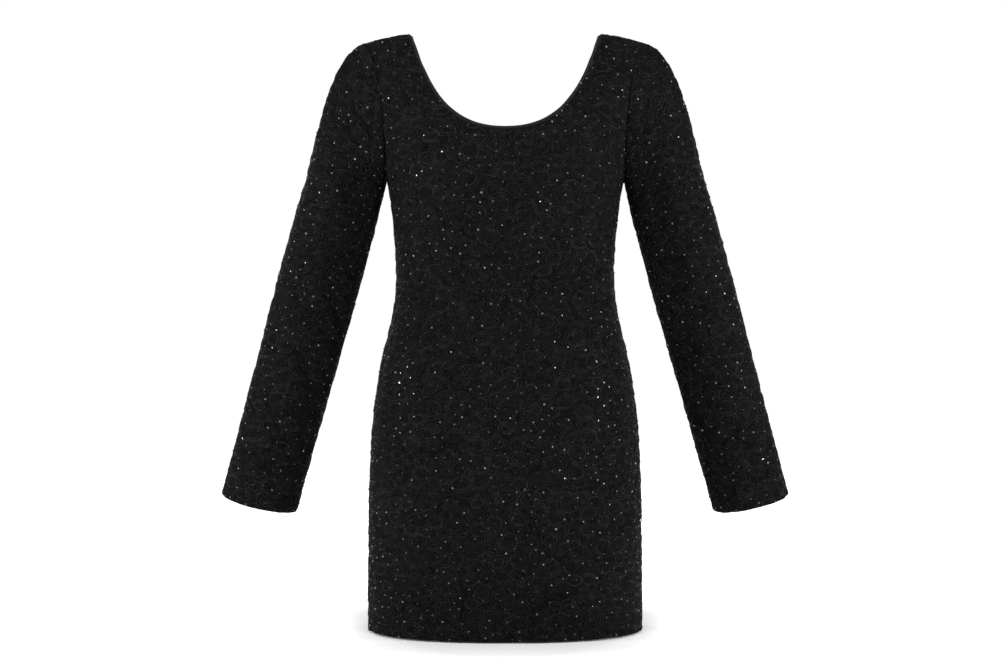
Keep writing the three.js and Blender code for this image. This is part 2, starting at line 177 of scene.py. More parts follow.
@dataclass(frozen=True)
class BodyForm:
    """The outside of the body that both panels follow, as in the solids."""

    roundness: float = 0.87
    bust_x: float = 70
    bust_level: float = -220
    bust_rise: float = 13
    bust_spread: float = 52
    bridged: float = 0.45
    bridge_softness: float = 16
    arch_start: float = -176
    arch_power: float = 2.4
    arch_root: float = 0.4
    shoulder_x: float = 184
    shoulder_z: float = -12.5
    shoulder_slope: float = 0.225
    seam_gap: float = 0.3
    sunk: float = 0.5  # the cloth's face lies this far inside the solid's
    levels: Rows = Rows(
        ("level", "half_width", "front", "back"),
        (
            (-783, 180.3, 120, 114),
            (-700, 179.7, 119, 116),
            (-620, 179.2, 118, 119),
            (-560, 177.3, 118, 122),
            (-510, 174.0, 116, 120),
            (-460, 167.5, 112, 112),
            (-420, 160.0, 107, 101),
            (-385, 151.2, 102, 92),
            (-350, 144.9, 99, 84),
            (-310, 143.3, 100, 81),
            (-270, 145.6, 105, 86),
            (-230, 149.8, 110, 95),
            (-195, 155.8, 110, 100),
            (-150, 166.0, 102, 101),
            (-105, 178.0, 90, 96),
            (-50, 191.0, 83, 91),
            (20, 202.0, 80, 88),
        ),
    )

    def shoulder_level(self, x: np.ndarray) -> np.ndarray:
        """The height of the shoulder seam at a distance from the middle."""
        return -self.shoulder_slope * (np.abs(x) - self.shoulder_x) + self.shoulder_z

    def arch(self, x: np.ndarray, level: np.ndarray) -> np.ndarray:
        """1 on the chest, falling to 0 on the shoulder seam."""
        rise = (level - self.arch_start) / (self.shoulder_level(x) - self.arch_start)
        return (1 - np.clip(rise, 0, 1) ** self.arch_power) ** self.arch_root

    def point(self, side: Side, across: Any, level: Any) -> np.ndarray:
        """Points of the right half of the body.

        Args:
            side: Front or back.
            across: 0 at the centre line to 1 at the side seam.
            level: Height.

        Returns:
            Points, with x, y and z along the last axis.
        """
        across, level = np.broadcast_arrays(np.asarray(across, float), np.asarray(level, float))
        row = self.levels.at(level)
        angle = 0.5 * math.pi * across
        x = row["half_width"] * np.sin(angle) ** self.roundness
        inward = np.maximum(np.cos(angle), 0) ** self.roundness
        if side is Side.FRONT:
            out = np.hypot(x, self.bridge_softness)
            inner = (self.bust_x - out) * self.bridged
            from_peak = np.where(out < self.bust_x, inner, out - self.bust_x)
            from_bust = np.hypot(from_peak, level - self.bust_level)
            rise = self.bust_rise * bump(from_bust, self.bust_spread)
            depth = (row["front"] + rise) * inward
        else:
            depth = row["back"] * inward
        y = side.value * (depth * self.arch(x, level) + 0.5 * self.seam_gap)
        return np.stack([x, y, level], axis=-1)

    def normal(self, side: Side, across: Any, level: Any) -> np.ndarray:
        """Outward normals of the right half, from points a small step away.

        Args:
            side: Front or back.
            across: 0 at the centre line to 1 at the side seam.
            level: Height.

        Returns:
            The normals, along the last axis.
        """
        across, level = np.broadcast_arrays(np.asarray(across, float), np.asarray(level, float))
        step_across, step_level = 0.004, 0.6
        inwards = self.point(side, np.maximum(across - step_across, 0), level)
        outwards = self.point(side, np.minimum(across + step_across, 1), level)
        lower = self.point(side, across, level - step_level)
        upper = self.point(side, across, level + step_level)
        normals = unit(np.cross(outwards - inwards, upper - lower))
        return -normals if side is Side.BACK else normals

    def across_for(self, x: Any, level: Any) -> np.ndarray:
        """The share of the quarter turn at which the body is x wide."""
        share = np.asarray(x, float) / self.levels.at(level)["half_width"]
        return np.arcsin(np.clip(share, 0, 1) ** (1 / self.roundness)) / (0.5 * math.pi)


@dataclass(frozen=True)
class Armhole:
    """The cut edge of the armhole, from the underarm (0) to the shoulder point (1)."""

    form: BodyForm
    level: float = -195
    reach: float = 3

    def edge(self, along: Any) -> tuple[np.ndarray, np.ndarray]:
        """The share across and the level of the edge.

        Args:
            along: The place along the edge, 0 to 1.

        Returns:
            The share of the quarter turn and the level there.
        """
        form = self.form
        end = float(form.across_for(form.shoulder_x, form.shoulder_z))
        rows = Rows(
            ("along", "across", "level"),
            (
                (0, 1, self.level),
                (0.12, 0.895, -186),
                (0.24, 0.815, -170),
                (0.36, 0.757, -148),
                (0.54, 0.7, -112),
                (0.72, 0.664, -73),
                (0.87, 0.68, -38),
                (1, end, form.shoulder_z),
            ),
        )
        found = rows.at(along)
        return found["across"], found["level"]

    def hollow(self, along: np.ndarray) -> tuple[np.ndarray, np.ndarray]:
        """How far the edge lies from a straight line between its ends.

        Args:
            along: The place along the edge, 0 to 1.

        Returns:
            The distances across and up.
        """
        across, level = self.edge(along)
        ends_across, ends_level = self.edge(np.array([0.0, 1.0]))
        straight_across = ends_across[0] + (ends_across[1] - ends_across[0]) * along
        straight_level = ends_level[0] + (ends_level[1] - ends_level[0]) * along
        return across - straight_across, level - straight_level


# The valley between panel and sleeve, from the shoulder point (0) to the underarm (1), and how
# far the sleeve keeps its first direction.
CAP_SPRING = Rows(
    ("round", "turn", "pull"),
    ((0, -5, 0.74), (0.25, 8, 0.62), (0.5, 30, 0.5), (0.75, 95, 0.36), (1, 150, 0.4)),
)
ARMHOLE_EASE = 1.6  # how much closer places lie round the shoulder point than at the underarm


def from_shoulder(w: np.ndarray) -> np.ndarray:
    """How far a share of the way round the sleeve is from the shoulder point, 0 to 0.5."""
    held = np.mod(w, 1.0)
    return np.minimum(held, 1 - held)


def along_armhole(nearest: np.ndarray) -> np.ndarray:
    """The place along the armhole's edge at a distance from the shoulder point."""
    return 1 - (2 * nearest) ** ARMHOLE_EASE


def valley_at(along: np.ndarray) -> np.ndarray:
    """The valley between panel and sleeve at a place along the armhole, in radians."""
    round_share = (1 - np.clip(along, 0, 1)) ** (1 / ARMHOLE_EASE)
    return np.radians(np.maximum(CAP_SPRING.at(round_share)["turn"], 0))


@dataclass
class Fold:
    """How the cloth turns in at one edge of a piece.

    turn, in radians, and length are one number, or one for each point of the edge. The length is
    what runs on straight after the turn.
    """

    turn: Any
    length: Any = SEAM_ALLOWANCE
    radius: float = 0.8
    steps: int = 3
    parts: tuple[float, ...] = (0.35, 1.0)

    def setback(self) -> np.ndarray:
        """How far before the finished edge the turn starts."""
        turn = np.asarray(self.turn, float)
        return self.radius * np.tan(np.minimum(turn, 0.5 * math.pi) / 2)

    def sizes_at(self, place: np.ndarray) -> tuple[np.ndarray, np.ndarray]:
        """The turn and the length at a place along the edge.

        Args:
            place: The place, counted in grid lines.

        Returns:
            The turn and the length there.
        """
        turn = np.atleast_1d(np.asarray(self.turn, float))
        length = np.atleast_1d(np.asarray(self.length, float))
        turn_there = np.interp(place, np.arange(len(turn)), turn)
        return turn_there, np.interp(place, np.arange(len(length)), length)

    def reach(self, place: np.ndarray) -> np.ndarray:
        """The length of cloth past the start of the turn."""
        turn, length = self.sizes_at(place)
        return turn * self.radius + length

    def stations(self, place: np.ndarray) -> list[np.ndarray]:
        """The distances past the start of the turn at which lines of points lie.

        Args:
            place: Places along the edge, counted in grid lines.

        Returns:
            The distances at each place, line by line.
        """
        turn, length = self.sizes_at(place)
        rolled = [turn * self.radius * k / self.steps for k in range(1, self.steps + 1)]
        return rolled + [turn * self.radius + length * part for part in self.parts]

    def profile(self, distance: np.ndarray, turn: np.ndarray) -> tuple[np.ndarray, ...]:
        """Where the cloth is at a distance past the start of the turn.

        Args:
            distance: Distance along the cloth, 0 or more.
            turn: The whole turn there.

        Returns:
            The way on, the way in and the angle turned.
        """
        angle = np.minimum(distance / self.radius, turn)
        rest = np.maximum(distance - turn * self.radius, 0)
        onward = self.radius * np.sin(angle) + rest * np.cos(turn)
        inward = self.radius * (1 - np.cos(angle)) + rest * np.sin(turn)
        return onward, inward, angle


SEAM = 0.5 * math.pi - 0.034  # the turned edges of two pieces meet at their inner ends
FOLDED = math.pi


def opening_fold(valley: np.ndarray) -> Fold:
    """The sharp turn at an armhole, less where panel and sleeve meet in a valley."""
    return Fold(SEAM - valley / 2, radius=0.25)


def turned_up(length: float) -> Fold:
    """A hem or a cuff, folded back flat inside."""
    return Fold(FOLDED, length, radius=1.45, steps=6, parts=(0.2, 0.55, 1.0))


@dataclass
class Crease:
    """A soft trough in the cloth with a low ridge beside it, on a piece's own flat map."""

    start: tuple[float, float]
    end: tuple[float, float]
    depth: float
    half_breadth: float
    bow: float = 0.0
    ridge: float = 0.4
    ridge_distance: float = 2.1  # from the trough's middle, in half breadths
    fullness: float = 1.35  # how soon the crease gets its full depth
    start_share: float = 0.1  # added between its ends, so that it starts less faintly

    def height(self, across: np.ndarray, along: np.ndarray) -> np.ndarray:
        """How far the crease lifts the cloth at places on the flat map.

        Args:
            across: Distances across the piece.
            along: Distances along it, or levels.

        Returns:
            The heights, below 0 in the trough.
        """
        start = np.array(self.start, float)
        way = np.array(self.end, float) - start
        length = float(np.hypot(*way))
        way = way / length
        onward = (across - start[0]) * way[0] + (along - start[1]) * way[1]
        aside = (along - start[1]) * way[0] - (across - start[0]) * way[1]
        share = onward / length
        aside = aside - self.bow * (1 - (2 * share - 1) ** 2)
        inside = (share > 0) * (share < 1)
        rise = self.fullness * (1 - np.abs(2 * share - 1)) + self.start_share * inside
        trough = -self.depth * bump(aside, self.half_breadth)
        from_ridge = aside - self.ridge_distance * self.half_breadth
        hill = self.ridge * self.depth * bump(from_ridge, self.half_breadth)
        return (trough + hill) * ease(rise)


def make_mesh(name: str, points: np.ndarray, faces: np.ndarray) -> bpy.types.Object:
    """A new smooth object from points in millimetres.

    Args:
        name: The piece's name.
        points: Points, three numbers each.
        faces: Rows of point numbers, all of one length.

    Returns:
        The object, linked to the scene.
    """
    mesh = bpy.data.meshes.new(name)
    mesh.from_pydata((points.reshape(-1, 3) * MM).tolist(), [], faces.tolist())
    mesh.polygons.foreach_set("use_smooth", np.ones(len(mesh.polygons), bool))
    mesh.update()
    piece = bpy.data.objects.new(name, mesh)
    bpy.context.scene.collection.objects.link(piece)
    return piece


def add_values(piece: bpy.types.Object, name: str, values: np.ndarray) -> None:
    """Gives each point of a piece one number that its material can read."""
    layer = piece.data.attributes.new(name, "FLOAT", "POINT")
    layer.data.foreach_set("value", np.ascontiguousarray(values, np.float32).ravel())


def add_map(piece: bpy.types.Object, places: np.ndarray) -> None:
    """Gives a piece its flat map.

    Args:
        piece: The piece.
        places: Two distances in millimetres for each point.
    """
    layer = piece.data.uv_layers.new(name="flat_map")
    corners = np.empty(len(piece.data.loops), np.int32)
    piece.data.loops.foreach_get("vertex_index", corners)
    layer.uv.foreach_set("vector", np.ascontiguousarray(places[corners] * MM, np.float32).ravel())


def select_only(piece: bpy.types.Object) -> None:
    """Makes one object the selected and active one.

    Args:
        piece: The object.
    """
    bpy.ops.object.select_all(action="DESELECT")
    piece.select_set(True)
    bpy.context.view_layer.objects.active = piece


def thicken(piece: bpy.types.Object, thickness: float) -> None:
    """Gives a sheet its thickness inwards, and makes that final.

    Args:
        piece: The sheet.
        thickness: Its thickness in millimetres.
    """
    select_only(piece)
    wall = piece.modifiers.new("wall", "SOLIDIFY")
    wall.thickness = thickness * MM
    wall.offset = -1
    wall.use_even_offset = False
    bpy.ops.object.modifier_apply(modifier=wall.name)


class ClothGrid:
    """One piece of cloth as rows and columns of points on its outer face.

    Columns run across the piece and rows run along it. Each of its four edges may turn in.
    """

    def __init__(
        self,
        points: np.ndarray,
        flip: bool,
        level_grain: bool,
        folds: tuple[Fold, Fold, Fold, Fold],
    ) -> None:
        """Sets the edges back, so that the turned cloth ends where the piece does.

        Args:
            points: Points by row and column.
            flip: Whether columns crossed with rows point inwards.
            level_grain: Whether the pattern keeps level instead of following the columns.
            folds: The edges at the first and last column, then at the first and last row.
        """
        self.points = points
        self.flip = flip
        self.level_grain = level_grain
        self.folds = folds
        self.rows, self.columns = points.shape[:2]
        self.measure()
        first, last, bottom, top = [fold.setback() for fold in folds]
        moved = points.copy()
        moved[:, 0] += self.along_c[:, 0] * np.reshape(first, (-1, 1))
        moved[:, -1] -= self.along_c[:, -1] * np.reshape(last, (-1, 1))
        moved[0] += self.along_r[0] * np.reshape(bottom, (-1, 1))
        moved[-1] -= self.along_r[-1] * np.reshape(top, (-1, 1))
        self.points = moved
        self.measure()
        self.puff = np.zeros((self.rows, self.columns))

    def measure(self) -> None:
        """Works out normals, directions and distances from the points."""
        step_c = np.gradient(self.points, axis=1)
        step_r = np.gradient(self.points, axis=0)
        self.step_c = np.linalg.norm(step_c, axis=-1)
        self.step_r = np.linalg.norm(step_r, axis=-1)
        normals = unit(np.cross(step_c, step_r))
        self.normals = -normals if self.flip else normals
        self.along_c = unit(step_c)
        self.along_r = unit(step_r)
        middle = self.columns // 2
        gaps = np.linalg.norm(np.diff(self.points, axis=1), axis=-1)
        run = np.concatenate([np.zeros((self.rows, 1)), np.cumsum(gaps, axis=1)], axis=1)
        self.across = run - run[:, middle : middle + 1]
        gaps = np.linalg.norm(np.diff(self.points, axis=0), axis=-1)
        self.down = np.concatenate([np.zeros((1, self.columns)), np.cumsum(gaps, axis=0)], axis=0)

    def within(self, c: np.ndarray, r: np.ndarray) -> tuple[np.ndarray, np.ndarray]:
        """Columns and rows moved to the nearest place on the grid."""
        return np.clip(c, 0, self.columns - 1), np.clip(r, 0, self.rows - 1)

    def sample(self, field_values: np.ndarray, c: np.ndarray, r: np.ndarray) -> np.ndarray:
        """Values between the points of the grid.

        Args:
            field_values: One value or vector for each point of the grid.
            c: Columns.
            r: Rows.

        Returns:
            The values there.
        """
        c0 = np.clip(np.floor(c).astype(int), 0, self.columns - 2)
        r0 = np.clip(np.floor(r).astype(int), 0, self.rows - 2)
        u, v = c - c0, r - r0
        if field_values.ndim == 3:
            u, v = u[..., None], v[..., None]
        low = field_values[r0, c0] * (1 - u) + field_values[r0, c0 + 1] * u
        high = field_values[r0 + 1, c0] * (1 - u) + field_values[r0 + 1, c0 + 1] * u
        return low * (1 - v) + high * v

    def place(
        self,
        c: np.ndarray,
        r: np.ndarray,
        past_c: np.ndarray,
        past_r: np.ndarray,
    ) -> tuple[np.ndarray, np.ndarray]:
        """Points and normals of the cloth's face, also on its turned edges.

        Args:
            c: Column, within the grid.
            r: Row, within the grid.
            past_c: Distance past the first (negative) or last (positive) column.
            past_r: Distance past the first (negative) or last (positive) row.

        Returns:
            The points and the outward normals.
        """
        points = self.sample(self.points, c, r)
        normals = unit(self.sample(self.normals, c, r))
        turned = normals.copy()
        ways = (
            (past_c, self.along_c, self.folds[:2], r),
            (past_r, self.along_r, self.folds[2:], c),
        )
        for past, directions, (low, high), place in ways:
            way = self.sample(directions, c, r)
            way = unit(way - normals * dot(way, normals)) * np.sign(past)[..., None]
            for fold, chosen in ((low, past < 0), (high, past > 0)):
                turn, _ = fold.sizes_at(place)
                distance = np.where(chosen, np.abs(past), 0.0)
                onward, inward, angle = fold.profile(distance, turn)
                points = points + way * onward[..., None] - normals * inward[..., None]
                bent = normals * (np.cos(angle) - 1)[..., None] + way * np.sin(angle)[..., None]
                turned = turned + bent
        return points, unit(turned)

    def trace(self, c: np.ndarray, r: np.ndarray) -> tuple[np.ndarray, np.ndarray]:
        """Points and normals at places that may lie past the edges, where they are squeezed in.

        Args:
            c: Columns.
            r: Rows.

        Returns:
            The points and the outward normals.
        """
        most = 0.9  # the share of a turned edge that a place may lie on
        inner_c, inner_r = self.within(c, r)
        past_c = (c - inner_c) * self.sample(self.step_c, inner_c, inner_r)
        past_r = (r - inner_r) * self.sample(self.step_r, inner_c, inner_r)
        held = []
        ways = ((past_c, self.folds[:2], inner_r), (past_r, self.folds[2:], inner_c))
        for past, (low, high), place in ways:
            reach = most * np.where(past < 0, low.reach(place), high.reach(place))
            held.append(reach * np.tanh(past / reach))
        return self.place(inner_c, inner_r, held[0], held[1])

    def seam_distance(self) -> np.ndarray:
        """How far each point is from the nearer edge of its row."""
        first = self.across - self.across[:, :1]
        return np.minimum(first, self.across[:, -1:] - self.across)

    def edge_distance(self) -> np.ndarray:
        """How far each point is from the nearest edge at the sides or the top."""
        return np.minimum(self.seam_distance(), self.down[-1:] - self.down)

    def lift(self, height: np.ndarray) -> None:
        """Moves each point along its normal, and measures the grid again."""
        self.points = self.points + self.normals * height[..., None]
        self.measure()

    def build(self, name: str, thickness: float) -> bpy.types.Object:
        """The piece with its turned edges, as a finished object.

        Args:
            name: The piece's name.
            thickness: The cloth's thickness.

        Returns:
            The object, with its flat map and its puff values.
        """
        first, last, bottom, top = self.folds
        row_numbers = np.arange(self.rows, dtype=float)
        column_numbers = np.arange(self.columns, dtype=float)
        before = first.stations(row_numbers)[::-1]
        after = last.stations(row_numbers)
        below = bottom.stations(column_numbers)[::-1]
        above = top.stations(column_numbers)
        end_c, end_r = self.columns - 1.0, self.rows - 1.0
        c = np.concatenate([[0.0] * len(before), column_numbers, [end_c] * len(after)])
        r = np.concatenate([[0.0] * len(below), row_numbers, [end_r] * len(above)])
        grid_r, grid_c = np.meshgrid(r, c, indexing="ij")
        past_c = np.zeros(grid_c.shape)
        past_r = np.zeros(grid_c.shape)
        whole_r = grid_r.astype(int)
        whole_c = grid_c.astype(int)
        for k, distance in enumerate(before):
            past_c[:, k] = -distance[whole_r[:, k]]
        for k, distance in enumerate(after):
            past_c[:, len(before) + self.columns + k] = distance[whole_r[:, k]]
        for k, distance in enumerate(below):
            past_r[k] = -distance[whole_c[k]]
        for k, distance in enumerate(above):
            past_r[len(below) + self.rows + k] = distance[whole_c[k]]
        points, _ = self.place(grid_c, grid_r, past_c, past_r)
        rows, columns = grid_c.shape
        numbers = np.arange(rows * columns).reshape(rows, columns)
        corners = (numbers[:-1, :-1], numbers[:-1, 1:], numbers[1:, 1:], numbers[1:, :-1])
        faces = np.stack(corners, axis=-1).reshape(-1, 4)
        piece = make_mesh(name, points, faces[:, ::-1] if self.flip else faces)
        across = self.sample(self.across, grid_c, grid_r) + past_c
        down = self.sample(self.down, grid_c, grid_r) + past_r
        map_start = 20, 40
        shift = map_start[0] - across.min(), map_start[1] - down.min()
        add_map(piece, np.stack([across + shift[0], down + shift[1]], axis=-1).reshape(-1, 2))
        add_values(piece, "puff", self.sample(self.puff, grid_c, grid_r))
        thicken(piece, thickness)
        return piece


@dataclass
class Panel:
    """The front or the back of the body, from the hem to the shoulder seams."""

    side: Side
    form: BodyForm
    armhole: Armhole
    hem: float
    creases: tuple[Crease, ...] = ()
    neck_half_width: float = 126.6
    neck_depth: float = 135.8
    scoop_level: float = 0.585
    scoop_lean_width: float = 0.802
    scoop_lean_depth: float = 0.606
    neck_columns: int = 41
    shoulder_columns: int = 13
    body_rows: int = 126
    yoke_rows: int = 40
    yoke_steps: int = 240
    armhole_steps: int = 200
    yoke_gather: float = 2.5  # how closely those steps lie near the shoulder
    hem_turn_up: float = 18
    neck_reach: float = 1.3
    neck_point_drop: float = 2.6  # how far the neck's corners are rounded down
    neck_point_spread: float = 5.5
    grid: ClothGrid = field(init=False)

    def scoop(self) -> tuple[np.ndarray, np.ndarray]:
        """The neck's cut edge from the centre line to the neck point, evenly spaced.

        Returns:
            The distances from the middle and the levels.
        """
        top = float(self.form.shoulder_level(np.array(self.neck_half_width)))
        width, depth = self.neck_half_width, self.neck_depth
        x = (0, width * self.scoop_level, width * self.scoop_lean_width, width)
        z = (-depth, -depth, -depth * self.scoop_lean_depth, top)
        t = 1 - (1 - np.linspace(0, 1, CURVE_STEPS)) ** 2
        weights = ((1 - t) ** 3, 3 * t * (1 - t) ** 2, 3 * t * t * (1 - t), t**3)
        line = np.stack([sum(w * p for w, p in zip(weights, ends)) for ends in (x, z)], axis=-1)
        across = self.form.across_for(line[:, 0], line[:, 1])
        run = lengths_along(self.form.point(self.side, across, line[:, 1]))
        even = np.linspace(0, run[-1], self.neck_columns + 1)
        return np.interp(even, run, line[:, 0]), np.interp(even, run, line[:, 1])

    def half_grid(self) -> np.ndarray:
        """The right half of the panel, from the hem up.

        Returns:
            Its points by row and column.
        """
        form, hole = self.form, self.armhole
        half = self.neck_columns + self.shoulder_columns
        share = np.arange(half + 1) / half
        dense = np.linspace(0, 1, CURVE_STEPS)
        run = lengths_along(form.point(self.side, dense, np.full(CURVE_STEPS, hole.level)))
        bottom = np.interp(share * run[-1], run, dense)
        levels = np.linspace(self.hem, hole.level, self.body_rows + 1)
        body = form.point(self.side, bottom[None, :], levels[:, None])
        neck_x, neck_z = self.scoop()
        out_x = np.linspace(self.neck_half_width, form.shoulder_x, self.shoulder_columns + 1)
        edge_x = np.concatenate([neck_x, out_x[1:]])
        edge_z = np.concatenate([neck_z, form.shoulder_level(out_x[1:])])
        top = form.across_for(edge_x, edge_z)
        up = 1 - (1 - np.linspace(0, 1, self.yoke_steps)) ** self.yoke_gather

        def yoke(rise: np.ndarray, column: int) -> np.ndarray:
            """Points of one column of the yoke.

            Args:
                rise: Shares of the way from the underarm's level to the top edge.
                column: The column's number from the centre line.

            Returns:
                The points.
            """
            bend = share[column] ** hole.reach
            hollow_across, hollow_level = hole.hollow(rise)
            across = bottom[column] * (1 - rise) + top[column] * rise + hollow_across * bend
            level = hole.level * (1 - rise) + edge_z[column] * rise + hollow_level * bend
            return form.point(self.side, np.minimum(across, 1), level)

        columns = []
        for column in range(half + 1):
            run = lengths_along(yoke(up, column))
            even = np.interp(np.linspace(0, run[-1], self.yoke_rows + 1), run, up)
            columns.append(yoke(even, column))
        return np.concatenate([body[:-1], np.stack(columns, axis=1)], axis=0)

    def lay_out(self) -> None:
        """Makes the piece's grid and presses its creases in."""
        half = self.half_grid()
        left = half[:, :0:-1] * np.array([-1, 1, 1])
        points = np.concatenate([left, half], axis=1)
        valley = np.zeros(points.shape[0])
        yoke = points[self.body_rows :, -1]
        along = np.interp(yoke[:, 2], *self.armhole_levels())
        valley[self.body_rows :] = valley_at(along)
        opening = opening_fold(valley)
        columns = points.shape[1]
        from_middle = np.abs(np.arange(columns) - columns // 2)
        at_neck = from_middle <= self.neck_columns
        top_length = np.where(at_neck, self.neck_reach, SEAM_ALLOWANCE)
        top = Fold(np.where(at_neck, 0.0, SEAM), top_length)
        hem = turned_up(self.hem_turn_up)
        level = float(self.form.shoulder_level(np.array(self.neck_half_width)))
        corner = np.hypot(np.abs(points[..., 0]) - self.neck_half_width, points[..., 2] - level)
        points[..., 2] -= self.neck_point_drop * bump(corner, self.neck_point_spread)
        self.grid = ClothGrid(points, self.side is Side.BACK, True, (opening, opening, hem, top))
        self.grid.lift(np.full(points.shape[:2], -self.form.sunk))
        grid = self.grid
        height = sum(crease.height(grid.across, grid.points[..., 2]) for crease in self.creases)
        if self.creases:
            grid.lift(height * ease(grid.edge_distance() / CREASE_MARGIN))

    def armhole_levels(self) -> tuple[np.ndarray, np.ndarray]:
        """Levels along the armhole and the share along it, for looking one up by the other."""
        along = np.linspace(0, 1, self.armhole_steps)
        return self.armhole.edge(along)[1], along


@dataclass
class Sleeve:
    """A set-in sleeve: a cap from the armhole to the bicep, then a straight tapered tube."""

    hand: Hand
    form: BodyForm
    armhole: Armhole
    creases: tuple[Crease, ...] = ()
    angle: float = 15.2
    bicep: tuple[float, float, float] = (213.9, 4, -211)
    length: float = 422
    drop_outer: float = 1.5
    drop_front: float = 5.5
    drop_over: float = 70
    columns: int = 72
    cap_rows: int = 38
    tube_rows: int = 92
    round_steps: int = 721
    cap_steps: int = 120
    measured_at: float = 60  # how far down the tube its girth is measured
    merged: float = 0.004  # within this share of a turn of a seam, front and back meet
    eased: float = 0.01  # and within this share their normals do
    look_ahead: float = 1 / 24
    cuff_turn_up: float = 14
    trough_fade: float = 0.6
    # Each trough: place round the sleeve, half breadth, start, end and depth.
    troughs: tuple[tuple[float, ...], ...] = (
        (0.345, 0.055, -60, 330, 5),
        (0.64, 0.06, -40, 250, 4),
    )
    sections: Rows = Rows(
        ("down", "half_width", "half_depth"),
        (
            (0, 52.6, 47),
            (36, 53.5, 46.5),
            (91, 54.1, 45.5),
            (146, 53.8, 44),
            (255, 52.2, 41.5),
            (365, 51.0, 39),
            (422, 50.8, 38),
        ),
    )
    grid: ClothGrid = field(init=False)

    def ring(self, w: np.ndarray) -> tuple[np.ndarray, np.ndarray]:
        """The armhole's edge and the panels' normals there.

        Args:
            w: Share of the way round, from the shoulder down the front and up the back.

        Returns:
            Points and normals.
        """
        w = np.mod(w, 1.0)
        nearest = from_shoulder(w)
        across, level = self.armhole.edge(along_armhole(nearest))
        across = np.minimum(across, 1)
        is_front = (w < 0.5)[..., None]
        points = [self.form.point(side, across, level) for side in Side]
        normals = [self.form.normal(side, across, level) for side in Side]
        point = np.where(is_front, points[0], points[1])
        normal = np.where(is_front, normals[0], normals[1])
        seam = bump(nearest, self.merged) + bump(nearest - 0.5, self.merged)
        point[..., 1] *= 1 - np.minimum(seam, 1)
        top = unit(np.array([self.form.shoulder_slope, 0, 1.0]))
        near_top = bump(nearest, self.eased)[..., None]
        normal = normal * (1 - near_top) + top * near_top
        normal[..., 1] *= 1 - bump(nearest - 0.5, self.eased)
        return point, unit(normal)

    def directions(self) -> tuple[np.ndarray, np.ndarray, np.ndarray]:
        """The sleeve's own three directions.

        Returns:
            Down along the sleeve, out across it, and forwards.
        """
        turn = math.radians(self.angle)
        down = np.array([math.sin(turn), 0, -math.cos(turn)])
        out = np.array([math.cos(turn), 0, math.sin(turn)])
        return down, out, np.array([0.0, -1.0, 0.0])

    def tube(self, w: np.ndarray, distance: np.ndarray) -> np.ndarray:
        """Points of the tube below the bicep.

        Args:
            w: Shares of the way round.
            distance: Distances down from the bicep.

        Returns:
            The points.
        """
        down, out, forwards = self.directions()
        row = self.sections.at(distance)
        angle = 2 * math.pi * w
        near_cuff = np.maximum(0, 1 - (self.length - distance) / self.drop_over)
        drop = near_cuff * (self.drop_outer * np.cos(angle) + self.drop_front * np.sin(angle))
        sunk = 0.0
        for place, half_breadth, start, end, depth in self.troughs:
            fade = bump(distance - (start + end) / 2, (end - start) / 2 * self.trough_fade)
            sunk = sunk + depth * bump(np.mod(w, 1.0) - place, half_breadth) * fade
        parts = (
            (down, distance + drop),
            (out, (row["half_width"] - sunk) * np.cos(angle)),
            (forwards, (row["half_depth"] - sunk) * np.sin(angle)),
        )
        return np.array(self.bicep) + sum(way * size[..., None] for way, size in parts)

    def cap(self, w: np.ndarray, t: np.ndarray) -> np.ndarray:
        """Points of the cap.

        Args:
            w: Shares of the way round.
            t: Shares of the way from the armhole to the bicep.

        Returns:
            The points.
        """
        point, normal = self.ring(w)
        along = self.ring(w + self.look_ahead)[0] - self.ring(w - self.look_ahead)[0]
        away = unit(np.cross(normal, along))
        spring = CAP_SPRING.at(1 - np.abs(1 - 2 * np.mod(w, 1.0)))
        turn = np.radians(spring["turn"])[..., None]
        half_valley = np.maximum(turn, 0) / 2
        start = point + self.form.seam_gap * (
            away * np.cos(half_valley) + normal * np.sin(half_valley)
        )
        first = away * np.cos(turn) + normal * np.sin(turn)
        end = self.tube(w, np.zeros(np.shape(w)))
        length = np.linalg.norm(end - start, axis=-1, keepdims=True)
        slope = first * spring["pull"][..., None] * length
        last = self.directions()[0] * length
        return hermite(start, slope, end, last, t[..., None])

    def lay_out(self) -> None:
        """Makes the piece's grid, which starts and ends at the underarm seam."""
        steps = self.round_steps
        dense = 0.5 + np.linspace(0, 1, steps)
        edge_run = lengths_along(self.cap(dense, np.zeros(steps)))
        tube_run = lengths_along(self.tube(dense, np.full(steps, self.measured_at)))
        run = (edge_run + tube_run) / 2
        w = np.interp(np.linspace(0, run[-1], self.columns + 1), run, dense)
        t = np.linspace(0, 1, self.cap_steps)
        wide, tall = np.meshgrid(w, t)
        cap = self.cap(wide, tall)
        columns = []
        for column in range(self.columns + 1):
            run = lengths_along(cap[:, column])
            even = np.interp(np.linspace(0, run[-1], self.cap_rows + 1), run, t)
            columns.append(self.cap(np.full(even.shape, w[column]), even))
        down = np.linspace(0, self.length, self.tube_rows + 1)[1:]
        wide, tall = np.meshgrid(w, down)
        points = np.concatenate([np.stack(columns, axis=1), self.tube(wide, tall)], axis=0)
        points = points * np.array([self.hand.value, 1, 1])
        opening = opening_fold(valley_at(along_armhole(from_shoulder(w))))
        folds = (Fold(SEAM), Fold(SEAM), opening, turned_up(self.cuff_turn_up))
        self.grid = ClothGrid(points, self.hand is Hand.LEFT, False, folds)
        self.grid.lift(np.full(points.shape[:2], -self.form.sunk))
        grid = self.grid
        height = sum(crease.height(grid.across, grid.down) for crease in self.creases)
        if self.creases:
            near = np.minimum(grid.seam_distance(), grid.down)
            grid.lift(height * ease(near / CREASE_MARGIN))


